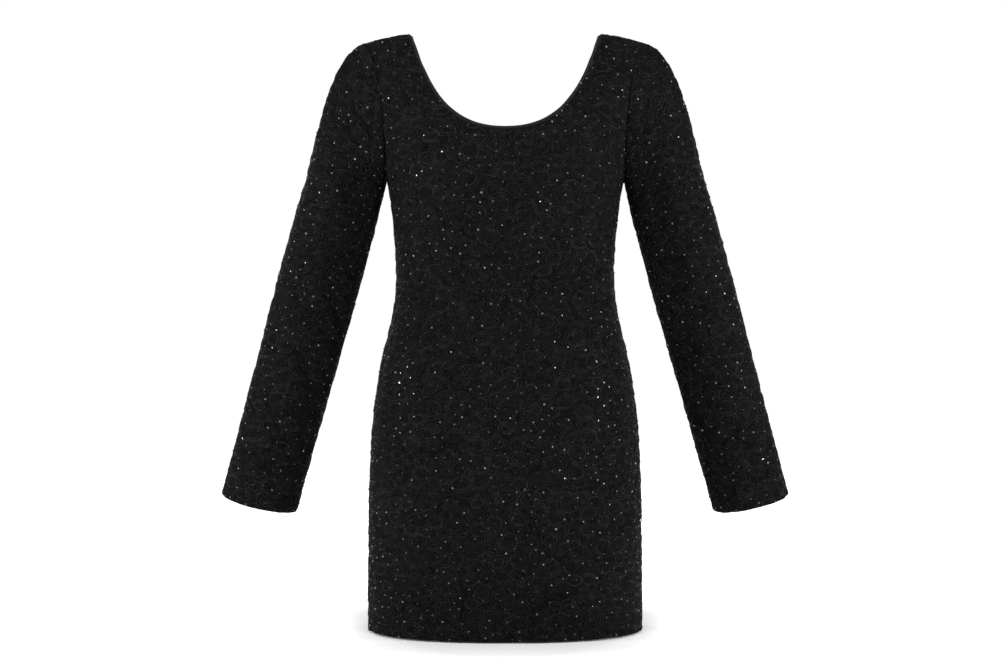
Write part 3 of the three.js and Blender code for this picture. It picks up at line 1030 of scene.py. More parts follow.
class CordBatch:
    """Many short cords that lie on cloth, gathered into one mesh.

    Each cord is a line of points with a three-sided section, flat below and ridged above.
    """

    def __init__(self) -> None:
        """Starts with no cords."""
        self.points: list[np.ndarray] = []
        self.faces: list[np.ndarray] = []
        self.tones: list[np.ndarray] = []
        self.count = 0

    def add(
        self,
        line: np.ndarray,
        normals: np.ndarray,
        width: np.ndarray,
        height: np.ndarray,
        tone: np.ndarray,
        closed: bool,
    ) -> None:
        """Adds cords that all have the same number of points.

        Args:
            line: Points by cord and place along it.
            normals: The cloth's normals there.
            width: Each cord's width at each place.
            height: Each cord's height at each place.
            tone: One number from 0 to 1 for each cord.
            closed: Whether each cord is a loop.
        """
        cords, places = line.shape[:2]
        if closed:
            along = np.roll(line, -1, axis=1) - np.roll(line, 1, axis=1)
        else:
            along = np.gradient(line, axis=1)
        aside = unit(np.cross(normals, unit(along)))
        half = 0.5 * width[..., None]
        sunk = 0.2
        section = (
            line - aside * half - normals * sunk,
            line + normals * (height[..., None] - sunk),
            line + aside * half - normals * sunk,
        )
        points = np.stack(section, axis=2)
        every = self.count + np.arange(cords * places * 3).reshape(cords, places, 3)
        near = every if closed else every[:, :-1]
        far = np.roll(every, -1, axis=1) if closed else every[:, 1:]
        near_turned = np.roll(near, -1, axis=2)
        far_turned = np.roll(far, -1, axis=2)
        for corners in ((near, near_turned, far_turned), (near, far_turned, far)):
            self.faces.append(np.stack(corners, axis=-1).reshape(-1, 3))
        if not closed:
            self.faces.append(every[:, 0, ::-1])
            self.faces.append(every[:, -1])
        self.points.append(points.reshape(-1, 3))
        self.tones.append(np.repeat(tone, places * 3))
        self.count += points.size // 3

    def build(self, name: str) -> bpy.types.Object:
        """All cords as one object with a tone value on each point.

        Args:
            name: The piece's name.

        Returns:
            The object.
        """
        piece = make_mesh(name, np.concatenate(self.points), np.concatenate(self.faces))
        add_values(piece, "tone", np.concatenate(self.tones))
        return piece


@dataclass
class Scatter:
    """Random places on a piece of cloth, no two of them too close."""

    grid: ClothGrid
    dice: np.random.Generator
    upright: float = 1.4  # how much more room is kept along the body than across it
    tries_each: int = 16

    def candidates(self, count: int, margin: int) -> tuple[np.ndarray, np.ndarray]:
        """Places spread evenly over the cloth, and a little past its edges.

        Args:
            count: How many.
            margin: Grid lines past the edges that they may lie on.

        Returns:
            Their columns and rows.
        """
        grid = self.grid
        area = grid.step_c * grid.step_r
        area = np.pad(area[:-1, :-1], margin, mode="edge")
        share = np.cumsum(area.ravel())
        picked = np.searchsorted(share, self.dice.random(count) * share[-1])
        r, c = np.unravel_index(picked, area.shape)
        c = c - margin + self.dice.random(count)
        r = r - margin + self.dice.random(count)
        return c, r

    def flat_places(self, c: np.ndarray, r: np.ndarray) -> np.ndarray:
        """Where the places would be if the edges weren't turned, for judging distances.

        Args:
            c: Columns.
            r: Rows.

        Returns:
            The points.
        """
        grid = self.grid
        inner_c, inner_r = grid.within(c, r)
        points = grid.sample(grid.points, inner_c, inner_r)
        step_c = grid.sample(grid.step_c, inner_c, inner_r) * (c - inner_c)
        step_r = grid.sample(grid.step_r, inner_c, inner_r) * (r - inner_r)
        points = points + grid.sample(grid.along_c, inner_c, inner_r) * step_c[..., None]
        points = points + grid.sample(grid.along_r, inner_c, inner_r) * step_r[..., None]
        return points

    def pick(
        self,
        spacing: float,
        limit: int,
        margin: int,
        avoid: np.ndarray | None = None,
        clear: float = 0.0,
    ) -> tuple[np.ndarray, np.ndarray]:
        """Places at least a spacing apart.

        Args:
            spacing: The least distance between two places.
            limit: The most places to pick.
            margin: Grid lines past the edges that places may lie on.
            avoid: Flat places to keep clear of.
            clear: The distance to keep from them.

        Returns:
            The columns and rows picked.
        """
        tries = limit * self.tries_each
        c, r = self.candidates(tries, margin)
        stretch = np.array([1, 1, self.upright])
        places = self.flat_places(c, r) * stretch
        avoid = None if avoid is None else avoid * stretch
        kept = np.empty((limit, 3))
        chosen: list[int] = []
        for i in range(tries):
            near = kept[: len(chosen)] - places[i]
            if len(chosen) and np.min(np.einsum("ij,ij->i", near, near)) < spacing**2:
                continue
            if avoid is not None:
                near = avoid - places[i]
                if np.min(np.einsum("ij,ij->i", near, near)) < clear**2:
                    continue
            kept[len(chosen)] = places[i]
            chosen.append(i)
            if len(chosen) == limit:
                break
        return c[chosen], r[chosen]


@dataclass
class Embroidery:
    """Ring embroidery on one piece: overlapping oval rings with curls between them."""

    grid: ClothGrid
    seed: int
    spacing: float = 18.2
    least_radius: float = 8.2
    most_radius: float = 12.8
    flatness: tuple[float, float] = (0.6, 0.88)
    lean: float = 15
    ring_points: int = 18
    second_points: int = 16
    curl_points: int = 10
    past_edge: int = 2  # grid lines past the edges on which a ring's middle may lie
    uneven: tuple[float, float] = (0.07, 0.05)
    column_share: float = 0.08  # how much the columns still turn a level pattern
    cord_width: tuple[float, float] = (1.9, 2.9)
    cord_height: float = 0.7
    width_play: tuple[float, float] = (0.88, 1.12)
    height_play: tuple[float, float] = (0.8, 1.15)
    doubled: float = 0.9  # the share of rings that have a second one
    outside: float = 0.7  # the share of second rings that lie outside the first
    outer_size: tuple[float, float] = (1.26, 1.42)
    inner_size: tuple[float, float] = (0.5, 0.68)
    second_share: float = 0.8  # of the first ring's width and tone
    puff_height: float = 1.2
    puff_spill: float = 1.08
    puff_window: float = 16
    finest_step: float = 0.8
    flat_margin: float = 6  # the puffs fade out this near an edge
    curl_spacing: float = 13
    curl_clear: float = 11.5
    curl_size: tuple[float, float] = (3.6, 5.4)
    curl_turn: float = 2.5  # in half turns
    curl_closing: float = 0.74
    curl_flatness: float = 0.85
    curl_width: float = 0.7
    curl_tip: tuple[float, float] = (0.25, 3.2)  # the width at the tips and how soon it is full
    most_rings: int = 930
    most_curls: int = 160
    dice: np.random.Generator = field(init=False)
    scatter: Scatter = field(init=False)
    sizes: np.ndarray = field(init=False)
    rings: tuple[np.ndarray, np.ndarray] = field(init=False)

    def axes(self, c: np.ndarray, r: np.ndarray) -> tuple[np.ndarray, np.ndarray]:
        """The pattern's two directions at places on the cloth.

        Args:
            c: Columns.
            r: Rows.

        Returns:
            The directions across and along the pattern.
        """
        grid = self.grid
        c, r = grid.within(c, r)
        normal = unit(grid.sample(grid.normals, c, r))
        way_c = unit(grid.sample(grid.along_c, c, r))
        way_r = unit(grid.sample(grid.along_r, c, r))
        first = way_c
        if grid.level_grain:
            level = np.cross(np.array([0.0, 0.0, 1.0]), normal)
            first = unit(level * np.sign(dot(level, way_c)) + self.column_share * way_c)
        first = unit(first - normal * dot(first, normal))
        second = np.cross(normal, first)
        return first, second * np.sign(dot(second, way_r))

    def spots(
        self, c: np.ndarray, r: np.ndarray, across: np.ndarray, along: np.ndarray
    ) -> tuple[np.ndarray, np.ndarray]:
        """Columns and rows of places given in millimetres from centres.

        Args:
            c: Centres' columns.
            r: Centres' rows.
            across: Distances along the pattern's first direction, by centre and place.
            along: Distances along its second direction.

        Returns:
            Columns and rows by centre and place.
        """
        grid = self.grid
        rounds, least_square = 4, 0.2
        first, second = [way[:, None] for way in self.axes(c, r)]
        centres = self.scatter.flat_places(c, r)[:, None]
        column = np.repeat(c[:, None], across.shape[1], axis=1)
        row = np.repeat(r[:, None], across.shape[1], axis=1)
        for _ in range(rounds):
            away = self.scatter.flat_places(column, row) - centres
            missed_across = across[..., None] - dot(away, first)
            missed_along = along[..., None] - dot(away, second)
            missed = first * missed_across + second * missed_along
            inner_c, inner_r = grid.within(column, row)
            way_c = unit(grid.sample(grid.along_c, inner_c, inner_r))
            way_r = unit(grid.sample(grid.along_r, inner_c, inner_r))
            lean = dot(way_c, way_r)
            square = np.maximum(1 - lean**2, least_square)
            move_c = (dot(missed, way_c) - lean * dot(missed, way_r)) / square
            move_r = (dot(missed, way_r) - lean * dot(missed, way_c)) / square
            column = column + move_c[..., 0] / grid.sample(grid.step_c, inner_c, inner_r)
            row = row + move_r[..., 0] / grid.sample(grid.step_r, inner_c, inner_r)
        return column, row

    def outlines(
        self, sizes: np.ndarray, places: int, dice: np.random.Generator
    ) -> tuple[np.ndarray, np.ndarray]:
        """Slightly uneven ovals about their centres.

        Args:
            sizes: Two radii and a lean in radians for each oval.
            places: Points round each.
            dice: The source of chance.

        Returns:
            Distances across and along, by oval and point.
        """
        count = len(sizes)
        angle = np.linspace(0, 2 * math.pi, places, endpoint=False)[None, :]
        phase = dice.random((count, 2)) * 2 * math.pi
        twice, thrice = self.uneven
        uneven = 1 + twice * np.cos(2 * angle + phase[:, :1])
        uneven = uneven + thrice * np.cos(3 * angle + phase[:, 1:])
        wide = sizes[:, :1] * np.cos(angle) * uneven
        tall = sizes[:, 1:2] * np.sin(angle) * uneven
        cos, sin = np.cos(sizes[:, 2:3]), np.sin(sizes[:, 2:3])
        return wide * cos - tall * sin, wide * sin + tall * cos

    def plan(self) -> None:
        """Chooses the rings' places and sizes, and puffs the cloth up inside them."""
        self.dice = np.random.default_rng(self.seed)
        self.scatter = Scatter(self.grid, self.dice)
        c, r = self.scatter.pick(self.spacing, self.most_rings, self.past_edge)
        count = len(c)
        wide = self.dice.uniform(self.least_radius, self.most_radius, count)
        tall = wide * self.dice.uniform(*self.flatness, count)
        lean = np.radians(self.dice.uniform(-self.lean, self.lean, count))
        self.sizes = np.stack([wide, tall, lean], axis=-1)
        self.rings = (c, r)
        self.swell()

    def swell(self) -> None:
        """Lifts the cloth a little inside each ring."""
        grid = self.grid
        c, r = self.rings
        first, second = self.axes(c, r)
        centres = self.scatter.flat_places(c, r)
        puff = grid.puff
        for i in range(len(c)):
            window_c = self.window(grid.step_c, c[i], r[i])
            window_r = self.window(grid.step_r, c[i], r[i])
            c0, c1 = max(int(c[i]) - window_c, 0), min(int(c[i]) + window_c + 2, grid.columns)
            r0, r1 = max(int(r[i]) - window_r, 0), min(int(r[i]) + window_r + 2, grid.rows)
            if c0 >= c1 or r0 >= r1:
                continue
            away = grid.points[r0:r1, c0:c1] - centres[i]
            wide = away @ first[i] / self.sizes[i, 0]
            tall = away @ second[i] / self.sizes[i, 1]
            rise = np.sqrt(np.clip(self.puff_spill - wide**2 - tall**2, 0, 1))
            puff[r0:r1, c0:c1] = np.maximum(puff[r0:r1, c0:c1], rise)
        # A panel lies flat along its neck as well as along its seams.
        edges = grid.edge_distance() if grid.level_grain else grid.seam_distance()
        grid.lift(self.puff_height * puff * ease(edges / self.flat_margin))

    def window(self, steps: np.ndarray, c: float, r: float) -> int:
        """How many grid lines a puff can reach from one place.

        Args:
            steps: The spacing of the grid's lines, by row and column.
            c: The place's column.
            r: The place's row.

        Returns:
            The number of lines.
        """
        column = min(max(int(c), 0), self.grid.columns - 1)
        row = min(max(int(r), 0), self.grid.rows - 1)
        return int(math.ceil(self.puff_window / max(float(steps[row, column]), self.finest_step)))

    def lay(
        self, batch: CordBatch, c: np.ndarray, r: np.ndarray, tone: np.ndarray, slim: float = 1.0
    ) -> None:
        """Lays closed cords on the cloth.

        Args:
            batch: What they are gathered in.
            c: Columns by cord and point.
            r: Rows by cord and point.
            tone: Each cord's tone.
            slim: The share of their full width.
        """
        line, normals = self.grid.trace(c, r)
        width = slim * self.dice.uniform(*self.cord_width, (len(c), 1))
        width = width * self.dice.uniform(*self.width_play, c.shape)
        height = self.cord_height * self.dice.uniform(*self.height_play, c.shape)
        batch.add(line, normals, width, height, tone, closed=True)

    def stitch(self, name: str) -> bpy.types.Object:
        """All the piece's rings and curls as one object.

        Args:
            name: The piece's name.

        Returns:
            The object.
        """
        batch = CordBatch()
        c, r = self.rings
        tone = self.dice.random(len(c))
        outer = self.spots(c, r, *self.outlines(self.sizes, self.ring_points, self.dice))
        self.lay(batch, *outer, tone)
        twice = self.dice.random(len(c)) < self.doubled
        count = int(twice.sum())
        outer_size = self.dice.uniform(*self.outer_size, count)
        inner_size = self.dice.uniform(*self.inner_size, count)
        size = np.where(self.dice.random(count) < self.outside, outer_size, inner_size)[:, None]
        sizes = self.sizes[twice] * np.concatenate([size, size, np.ones_like(size)], axis=1)
        outlines = self.outlines(sizes, self.second_points, self.dice)
        second = self.spots(c[twice], r[twice], *outlines)
        self.lay(batch, *second, self.second_share * tone[twice], self.second_share)
        self.curl(batch)
        return batch.build(name)

    def curl(self, batch: CordBatch) -> None:
        """Adds small open curls in the gaps between rings.

        Args:
            batch: What they are gathered in.
        """
        centres = self.scatter.flat_places(*self.rings)
        c, r = self.scatter.pick(self.curl_spacing, self.most_curls, 0, centres, self.curl_clear)
        count = len(c)
        share = np.linspace(0, 1, self.curl_points)[None, :]
        hand = np.where(self.dice.random(count) < 0.5, 1.0, -1.0)[:, None]
        start = self.dice.random(count)[:, None] * 2 * math.pi
        size = self.dice.uniform(*self.curl_size, count)[:, None]
        angle = start + hand * share * self.curl_turn * math.pi
        radius = size * (1 - self.curl_closing * share)
        along = self.curl_flatness * radius * np.sin(angle)
        line, normals = self.grid.trace(*self.spots(c, r, radius * np.cos(angle), along))
        tip, growth = self.curl_tip
        taper = np.minimum(1, tip + growth * np.minimum(share, 1 - share))
        shape = (count, self.curl_points)
        width = np.broadcast_to(self.curl_width * taper * self.cord_width[0], shape)
        height = np.broadcast_to(taper * self.cord_height, shape)
        batch.add(line, normals, width, height, self.dice.random(count), closed=False)


@dataclass
class Stones:
    """Small faceted stones scattered over one piece of cloth."""

    grid: ClothGrid
    seed: int
    radius: float = 1.5
    depth: float = 0.9
    table: float = 0.6
    per_square_metre: float = 4370
    spacing: float = 9.0
    tilt: float = 12
    tilt_spread: float = 0.75
    size: tuple[float, float] = (0.78, 1.12)
    sunk: float = 0.1
    sides: int = 6

    def cut(self) -> tuple[np.ndarray, np.ndarray]:
        """One stone, cut from a disc with straight sides.

        Returns:
            Its points and its triangles.
        """
        bpy.ops.object.select_all(action="DESELECT")
        bpy.ops.mesh.primitive_cylinder_add(
            vertices=self.sides,
            radius=self.radius,
            depth=self.depth,
            location=(0, 0, self.depth / 2),
        )
        stone = bpy.context.active_object
        bpy.ops.object.transform_apply(location=True, rotation=True, scale=True)
        bpy.ops.object.mode_set(mode="EDIT")
        bpy.ops.mesh.select_all(action="DESELECT")
        bpy.ops.object.mode_set(mode="OBJECT")
        for face in stone.data.polygons:
            face.select = face.normal.z > 0.9  # the top alone
        bpy.ops.object.mode_set(mode="EDIT")
        bpy.ops.transform.resize(value=(self.table, self.table, 1))
        bpy.ops.mesh.select_all(action="SELECT")
        bpy.ops.mesh.quads_convert_to_tris()
        bpy.ops.object.mode_set(mode="OBJECT")
        points = np.array([vertex.co[:] for vertex in stone.data.vertices])
        faces = np.array([face.vertices[:] for face in stone.data.polygons])
        bpy.data.objects.remove(stone, do_unlink=True)
        return points, faces

    def scatter(self, name: str) -> bpy.types.Object:
        """All the piece's stones as one object with a tone value on each stone.

        Args:
            name: The piece's name.

        Returns:
            The object.
        """
        dice = np.random.default_rng(self.seed)
        points, faces = self.cut()
        grid = self.grid
        area = float(np.sum(grid.step_c * grid.step_r)) * MM * MM
        wanted = int(area * self.per_square_metre)
        c, r = Scatter(grid, dice, upright=1.0).pick(self.spacing, wanted, 0)
        count = len(c)
        spot, normal = grid.trace(c, r)
        first = unit(grid.sample(grid.along_c, c, r))
        first = unit(first - normal * dot(first, normal))
        second = np.cross(normal, first)
        tilt = np.radians(self.tilt) * np.abs(dice.normal(0, self.tilt_spread, count))[:, None]
        heading = dice.random(count)[:, None] * 2 * math.pi
        leaning = first * np.cos(heading) + second * np.sin(heading)
        up = normal * np.cos(tilt) + leaning * np.sin(tilt)
        turn = dice.random(count)[:, None] * 2 * math.pi
        side = unit(np.cross(up, second))
        ahead = np.cross(up, side)
        spin = side * np.cos(turn) + ahead * np.sin(turn)
        cross = np.cross(up, spin)
        size = dice.uniform(*self.size, count)[:, None, None]
        placed = (
            points[None, :, :1] * spin[:, None] + points[None, :, 1:2] * cross[:, None]
            + points[None, :, 2:] * up[:, None]
        )
        placed = placed * size + (spot - normal * self.sunk)[:, None]
        numbers = faces[None] + (np.arange(count) * len(points))[:, None, None]
        piece = make_mesh(name, placed, numbers.reshape(-1, 3))
        piece.data.polygons.foreach_set("use_smooth", np.zeros(len(piece.data.polygons), bool))
        add_values(piece, "tone", np.repeat(dice.random(count), len(points)))
        return piece


@dataclass
class NeckBinding:
    """A smooth folded strip that finishes the neck's edge."""

    front: Panel
    back: Panel
    over: float = 1.0  # how far it covers the cloth
    beyond: float = 3.5
    proud: float = 0.75
    thickness: float = 2.6
    blunt: float = 0.9  # how much smaller it is at the two neck points
    blunt_reach: float = 1.6
    squareness: float = 0.7
    smoothing: int = 2
    sides: int = 14

    def edge(self, panel: Panel) -> tuple[np.ndarray, np.ndarray, np.ndarray]:
        """The neck's edge of one panel.

        Args:
            panel: The panel.

        Returns:
            Its points, the way off the cloth and the normals.
        """
        grid = panel.grid
        middle = grid.columns // 2
        columns = slice(middle - panel.neck_columns, middle + panel.neck_columns + 1)
        points = grid.points[-1, columns]
        normals = grid.normals[-1, columns]
        along = unit(np.gradient(points, axis=0))
        away = np.cross(normals, along)
        away = away * np.sign(dot(away, grid.along_r[-1, columns]))
        return points, unit(away), normals

    def build(self, name: str) -> bpy.types.Object:
        """The binding as one closed ring.

        Args:
            name: The piece's name.

        Returns:
            The object.
        """
        front, back = self.edge(self.front), self.edge(self.back)
        line, away, normals = [np.concatenate([a, b[-2:0:-1]]) for a, b in zip(front, back)]
        for _ in range(self.smoothing):
            away, normals = [
                unit(np.roll(ways, 1, axis=0) + 2 * ways + np.roll(ways, -1, axis=0))
                for ways in (away, normals)
            ]
        angle = np.linspace(0, 2 * math.pi, self.sides, endpoint=False)
        half_width = (self.over + self.beyond) / 2
        flat_sides = (np.cos(angle), np.sin(angle))
        rounded = [np.sign(side) * np.abs(side) ** self.squareness for side in flat_sides]
        out = rounded[0] * half_width + half_width - self.over
        up = rounded[1] * self.thickness / 2 + self.proud - self.thickness / 2
        count = len(line)
        tip = front[0].shape[0] - 1
        place = np.arange(count)
        steps = np.minimum(place, np.abs(place - tip))
        size = 1 - self.blunt * bump(np.minimum(steps, 2 * tip - place), self.blunt_reach)
        points = line[:, None] + away[:, None] * (size[:, None] * out)[..., None]
        points = points + normals[:, None] * (size[:, None] * up)[..., None]
        numbers = np.arange(count * self.sides).reshape(count, self.sides)
        ahead = np.roll(numbers, -1, axis=0)
        turned = np.roll(numbers, -1, axis=1)
        faces = np.stack([numbers, turned, np.roll(ahead, -1, axis=1), ahead], axis=-1)
        piece = make_mesh(name, points, faces.reshape(-1, 4))
        select_only(piece)
        bpy.ops.object.mode_set(mode="EDIT")
        bpy.ops.mesh.select_all(action="SELECT")
        bpy.ops.mesh.normals_make_consistent(inside=False)
        bpy.ops.object.mode_set(mode="OBJECT")
        run = np.concatenate([lengths_along(line), [0]])[:count]
        turned_width = 1.2  # of the flat map, for each radian round the strip
        round_map = (angle * turned_width)[None, :]
        flat = np.stack(np.broadcast_arrays(run[:, None], round_map), axis=-1)
        add_map(piece, flat.reshape(-1, 2))
        return piece


class Signal:
    """A shader socket that can be used in Python expressions."""

    def __init__(self, bench: "Bench", socket: bpy.types.NodeSocket) -> None:
        """Keeps the socket and the material it belongs to."""
        self.bench = bench
        self.socket = socket

    def combine(self, operation: str, first: Any, second: Any) -> "Signal":
        """Adds a Math node.

        Args:
            operation: What the node does.
            first: A value or a signal.
            second: Another.

        Returns:
            The result.
        """
        node = self.bench.add("ShaderNodeMath", {"operation": operation}, {0: first, 1: second})
        return Signal(self.bench, node.outputs[0])

    def __add__(self, other: Any) -> "Signal":
        """This plus other."""
        return self.combine("ADD", self, other)

    def __radd__(self, other: Any) -> "Signal":
        """Other plus this."""
        return self.combine("ADD", other, self)

    def __sub__(self, other: Any) -> "Signal":
        """This minus other."""
        return self.combine("SUBTRACT", self, other)

    def __mul__(self, other: Any) -> "Signal":
        """This times other."""
        return self.combine("MULTIPLY", self, other)

    def __rmul__(self, other: Any) -> "Signal":
        """Other times this."""
        return self.combine("MULTIPLY", other, self)

    def __pow__(self, other: Any) -> "Signal":
        """This to the power of other."""
        return self.combine("POWER", self, other)

    def wave(self, length: float) -> "Signal":
        """A wave between 0 and 1 that repeats over a length."""
        turn = self * (2 * math.pi / length)
        return 0.5 + 0.5 * self.combine("SINE", turn, 0.0)


class Bench:
    """The nodes of one material or of the surroundings, and the shader that they feed."""

    def __init__(self, name: str, surroundings: bool = False) -> None:
        """Starts a new material, or new surroundings.

        Args:
            name: Its name.
            surroundings: Whether it is the studio's surroundings.
        """
        places = bpy.data.worlds if surroundings else bpy.data.materials
        self.made = places.new(name)
        self.made.use_nodes = True
        self.tree = self.made.node_tree
        self.shader = self.tree.nodes["Background" if surroundings else "Principled BSDF"]

    def add(
        self,
        kind: str,
        settings: dict[str, Any] | None = None,
        inputs: dict[Any, Any] | None = None,
    ) -> bpy.types.Node:
        """Adds a node.

        Args:
            kind: The node's type.
            settings: Properties to set first.
            inputs: Values or signals, by socket name or number.

        Returns:
            The node.
        """
        node = self.tree.nodes.new(kind)
        for key, value in (settings or {}).items():
            setattr(node, key, value)
        for key, value in (inputs or {}).items():
            self.feed(node.inputs[key], value)
        return node

    def feed(self, socket: bpy.types.NodeSocket, value: Any) -> None:
        """Sets a socket to a value, or links a signal to it.

        Args:
            socket: The socket.
            value: A value or a signal.
        """
        if isinstance(value, Signal):
            self.tree.links.new(value.socket, socket)
        else:
            socket.default_value = value

    def signal(self, node: bpy.types.Node, output: Any = 0) -> Signal:
        """One output of a node as a signal."""
        return Signal(self, node.outputs[output])

    def value(self, name: str) -> Signal:
        """The numbers that a mesh carries under a name."""
        return self.signal(self.add("ShaderNodeAttribute", {"attribute_name": name}), "Fac")

    def flat_map(self) -> tuple[Signal, Signal]:
        """The two distances of the flat map, in metres.

        Returns:
            The distances across and along the piece.
        """
        places = self.add("ShaderNodeUVMap", {"uv_map": "flat_map"})
        parts = self.add("ShaderNodeSeparateXYZ", None, {0: self.signal(places)})
        return self.signal(parts, 0), self.signal(parts, 1)

    def noise(self, scale: float, detail: float, roughness: float = 0.5) -> Signal:
        """Soft random variation through the object.

        Args:
            scale: Cycles a metre.
            detail: How many finer layers are added.
            roughness: How strong they are.

        Returns:
            Numbers about a half.
        """
        place = self.signal(self.add("ShaderNodeTexCoord"), "Object")
        sizes = {"Vector": place, "Scale": scale, "Detail": detail, "Roughness": roughness}
        return self.signal(self.add("ShaderNodeTexNoise", None, sizes), 0)

    def blend(self, share: Signal, low: tuple[float, ...], high: tuple[float, ...]) -> Signal:
        """A colour between two colours.

        Args:
            share: 0 for the low colour to 1 for the high one.
            low: Red, green and blue.
            high: The same for the other colour.

        Returns:
            The colour.
        """
        inputs = {"Factor": share, 6: (*low, 1), 7: (*high, 1)}
        settings = {"data_type": "RGBA", "clamp_factor": True}
        return self.signal(self.add("ShaderNodeMix", settings, inputs), 2)

    def relief(self, height: Signal, distance: float, strength: float = 1.0) -> Signal:
        """A normal that shows a height from 0 to 1 as raised by a distance in millimetres."""
        inputs = {"Height": height, "Distance": distance * MM, "Strength": strength}
        return self.signal(self.add("ShaderNodeBump", None, inputs), 0)

    def finish(self, **sockets: Any) -> Any:
        """Feeds the shader.

        Args:
            **sockets: Values or signals by socket name, with _ for each space.

        Returns:
            The material or the surroundings.
        """
        for name, value in sockets.items():
            self.feed(self.shader.inputs[name.replace("_", " ")], value)
        return self.made


@dataclass(frozen=True)
class KnitFinish:
    """Matt black stretch knit, with a painted highlight where the embroidery puffs it up, which
    leaves the hollows between the puffs darker as painted shade.
    """

    ground: tuple[float, float, float] = (0.0014, 0.0014, 0.0016)
    # The lighter end of the colour, reached by random patches and by the painted highlight on the
    # puffs.
    raised: tuple[float, float, float] = (0.0086, 0.0087, 0.01)
    wale: float = 1.3
    course: float = 1.0
    wander: float = 0.4  # how far the courses rise and fall with the wales
    fuzz: tuple[float, float, float] = (1500, 2, 0.6)  # cycles a metre, detail and roughness
    grain: tuple[float, float, float] = (270, 3, 0.6)
    cloud: tuple[float, float, float] = (85, 3, 0.55)
    contrast: tuple[float, float, float] = (0.6, 2.5, 0.7)  # of the three above, in the colour
    even_share: float = 0.22
    # Painted highlight on the puffed cloth: how much lighter, and how soon it is full.
    puff_highlight_share: float = 0.14
    puff_highlight_power: float = 0.6
    depth: float = 0.4
    depth_parts: tuple[float, float, float] = (0.35, 0.25, 0.4)  # of stitches, fuzz and grain
    roughness: float = 0.8
    roughness_play: float = 0.16
    shine: float = 0.05

    def material(self) -> bpy.types.Material:
        """The finish as a material.

        Returns:
            The material.
        """
        bench = Bench("embroidered_knit")
        across, along = bench.flat_map()
        wales = across.wave(self.wale * MM)
        courses = (along + self.wander * MM * wales).wave(self.course * MM)
        fuzz = bench.noise(*self.fuzz)
        grain = bench.noise(*self.grain)
        cloud = bench.noise(*self.cloud)
        puff = bench.value("puff")
        fine, middle, broad = self.contrast
        patches = (cloud - 0.5) * broad + (grain - 0.5) * middle + (fuzz - 0.5) * fine
        # The puff term paints a highlight on the puffed cloth inside the rings; the random
        # patches are the knit's own tone.
        share = self.even_share + puff**self.puff_highlight_power * self.puff_highlight_share + patches
        by_stitch, by_fuzz, by_grain = self.depth_parts
        height = by_stitch * wales * courses + by_fuzz * fuzz + by_grain * grain
        return bench.finish(
            Base_Color=bench.blend(share, self.ground, self.raised),
            Roughness=self.roughness + self.roughness_play * cloud,
            Normal=bench.relief(height, self.depth),
            Specular_IOR_Level=self.shine,
        )


@dataclass(frozen=True)
class ThreadFinish:
    """Soft black embroidery thread, a little lighter and smoother than the knit; the lighter
    colour is partly its own and partly painted sheen.
    """

    dark: tuple[float, float, float] = (0.0022, 0.0022, 0.0024)
    # The lighter end: partly the thread's own colour, partly painted sheen.
    light: tuple[float, float, float] = (0.0103, 0.0104, 0.0119)
    strand: tuple[float, float, float] = (900, 2, 0.5)  # cycles a metre, detail and roughness
    # Uneven brightness along the rings, so that parts of them fade into the knit.
    patchiness: tuple[float, float, float] = (130, 2, 0.5)
    contrast: tuple[float, float] = (1.2, 3.2)  # of the two above, in the colour
    even_share: float = 0.12
    tone_share: float = 0.5
    depth: float = 0.3
    roughness: float = 0.5
    roughness_play: float = 0.2
    shine: float = 0.08

    def material(self) -> bpy.types.Material:
        """The finish as a material.

        Returns:
            The material.
        """
        bench = Bench("ring_thread")
        strands = bench.noise(*self.strand)
        patchy = bench.noise(*self.patchiness)
        fine, broad = self.contrast
        share = self.even_share + bench.value("tone") * self.tone_share
        share = share + (patchy - 0.5) * broad + (strands - 0.5) * fine
        return bench.finish(
            Base_Color=bench.blend(share, self.dark, self.light),
            Roughness=self.roughness + self.roughness_play * strands,
            Normal=bench.relief(strands, self.depth),
            Specular_IOR_Level=self.shine,
        )


@dataclass(frozen=True)
class StoneFinish:
    """Polished black stones; a few get a lighter grey colour as a painted glint."""

    dark: tuple[float, float, float] = (0.01, 0.01, 0.011)
    # Painted glint: the few stones with this colour stand in for stones catching a lamp.
    light: tuple[float, float, float] = (0.17, 0.17, 0.18)
    haze: tuple[float, float] = (700, 1)  # cycles a metre and detail
    glint_power: float = 8  # the higher it is, the fewer stones get the painted glint
    roughness: float = 0.12
    roughness_play: float = 0.16
    coat_power: float = 3
    coat_roughness: float = 0.06
    shine: float = 0.35

    def material(self) -> bpy.types.Material:
        """The finish as a material.

        Returns:
            The material.
        """
        bench = Bench("black_stone")
        tone = bench.value("tone")
        haze = bench.noise(*self.haze)
        return bench.finish(
            Base_Color=bench.blend(tone**self.glint_power, self.dark, self.light),
            Roughness=self.roughness + self.roughness_play * haze,
            Coat_Weight=tone**self.coat_power,
            Coat_Roughness=self.coat_roughness,
            Specular_IOR_Level=self.shine,
        )


@dataclass(frozen=True)
class SatinFinish:
    """Smooth black satin with a very fine weave along the strip."""

    dark: tuple[float, float, float] = (0.0035, 0.0035, 0.0038)
    light: tuple[float, float, float] = (0.0065, 0.0065, 0.007)
    weave: float = 0.7
    cloud: tuple[float, float] = (300, 2)  # cycles a metre and detail
    depth: float = 0.08
    roughness: float = 0.5
    roughness_play: float = 0.12
    shine: float = 0.12

    def material(self) -> bpy.types.Material:
        """The finish as a material.

        Returns:
            The material.
        """
        bench = Bench("satin_binding")
        along, _ = bench.flat_map()
        weave = along.wave(self.weave * MM)
        cloud = bench.noise(*self.cloud)
        return bench.finish(
            Base_Color=bench.blend(cloud, self.dark, self.light),
            Roughness=self.roughness + self.roughness_play * cloud,
            Normal=bench.relief(weave * 0.5 + cloud * 0.5, self.depth),
            Specular_IOR_Level=self.shine,
        )


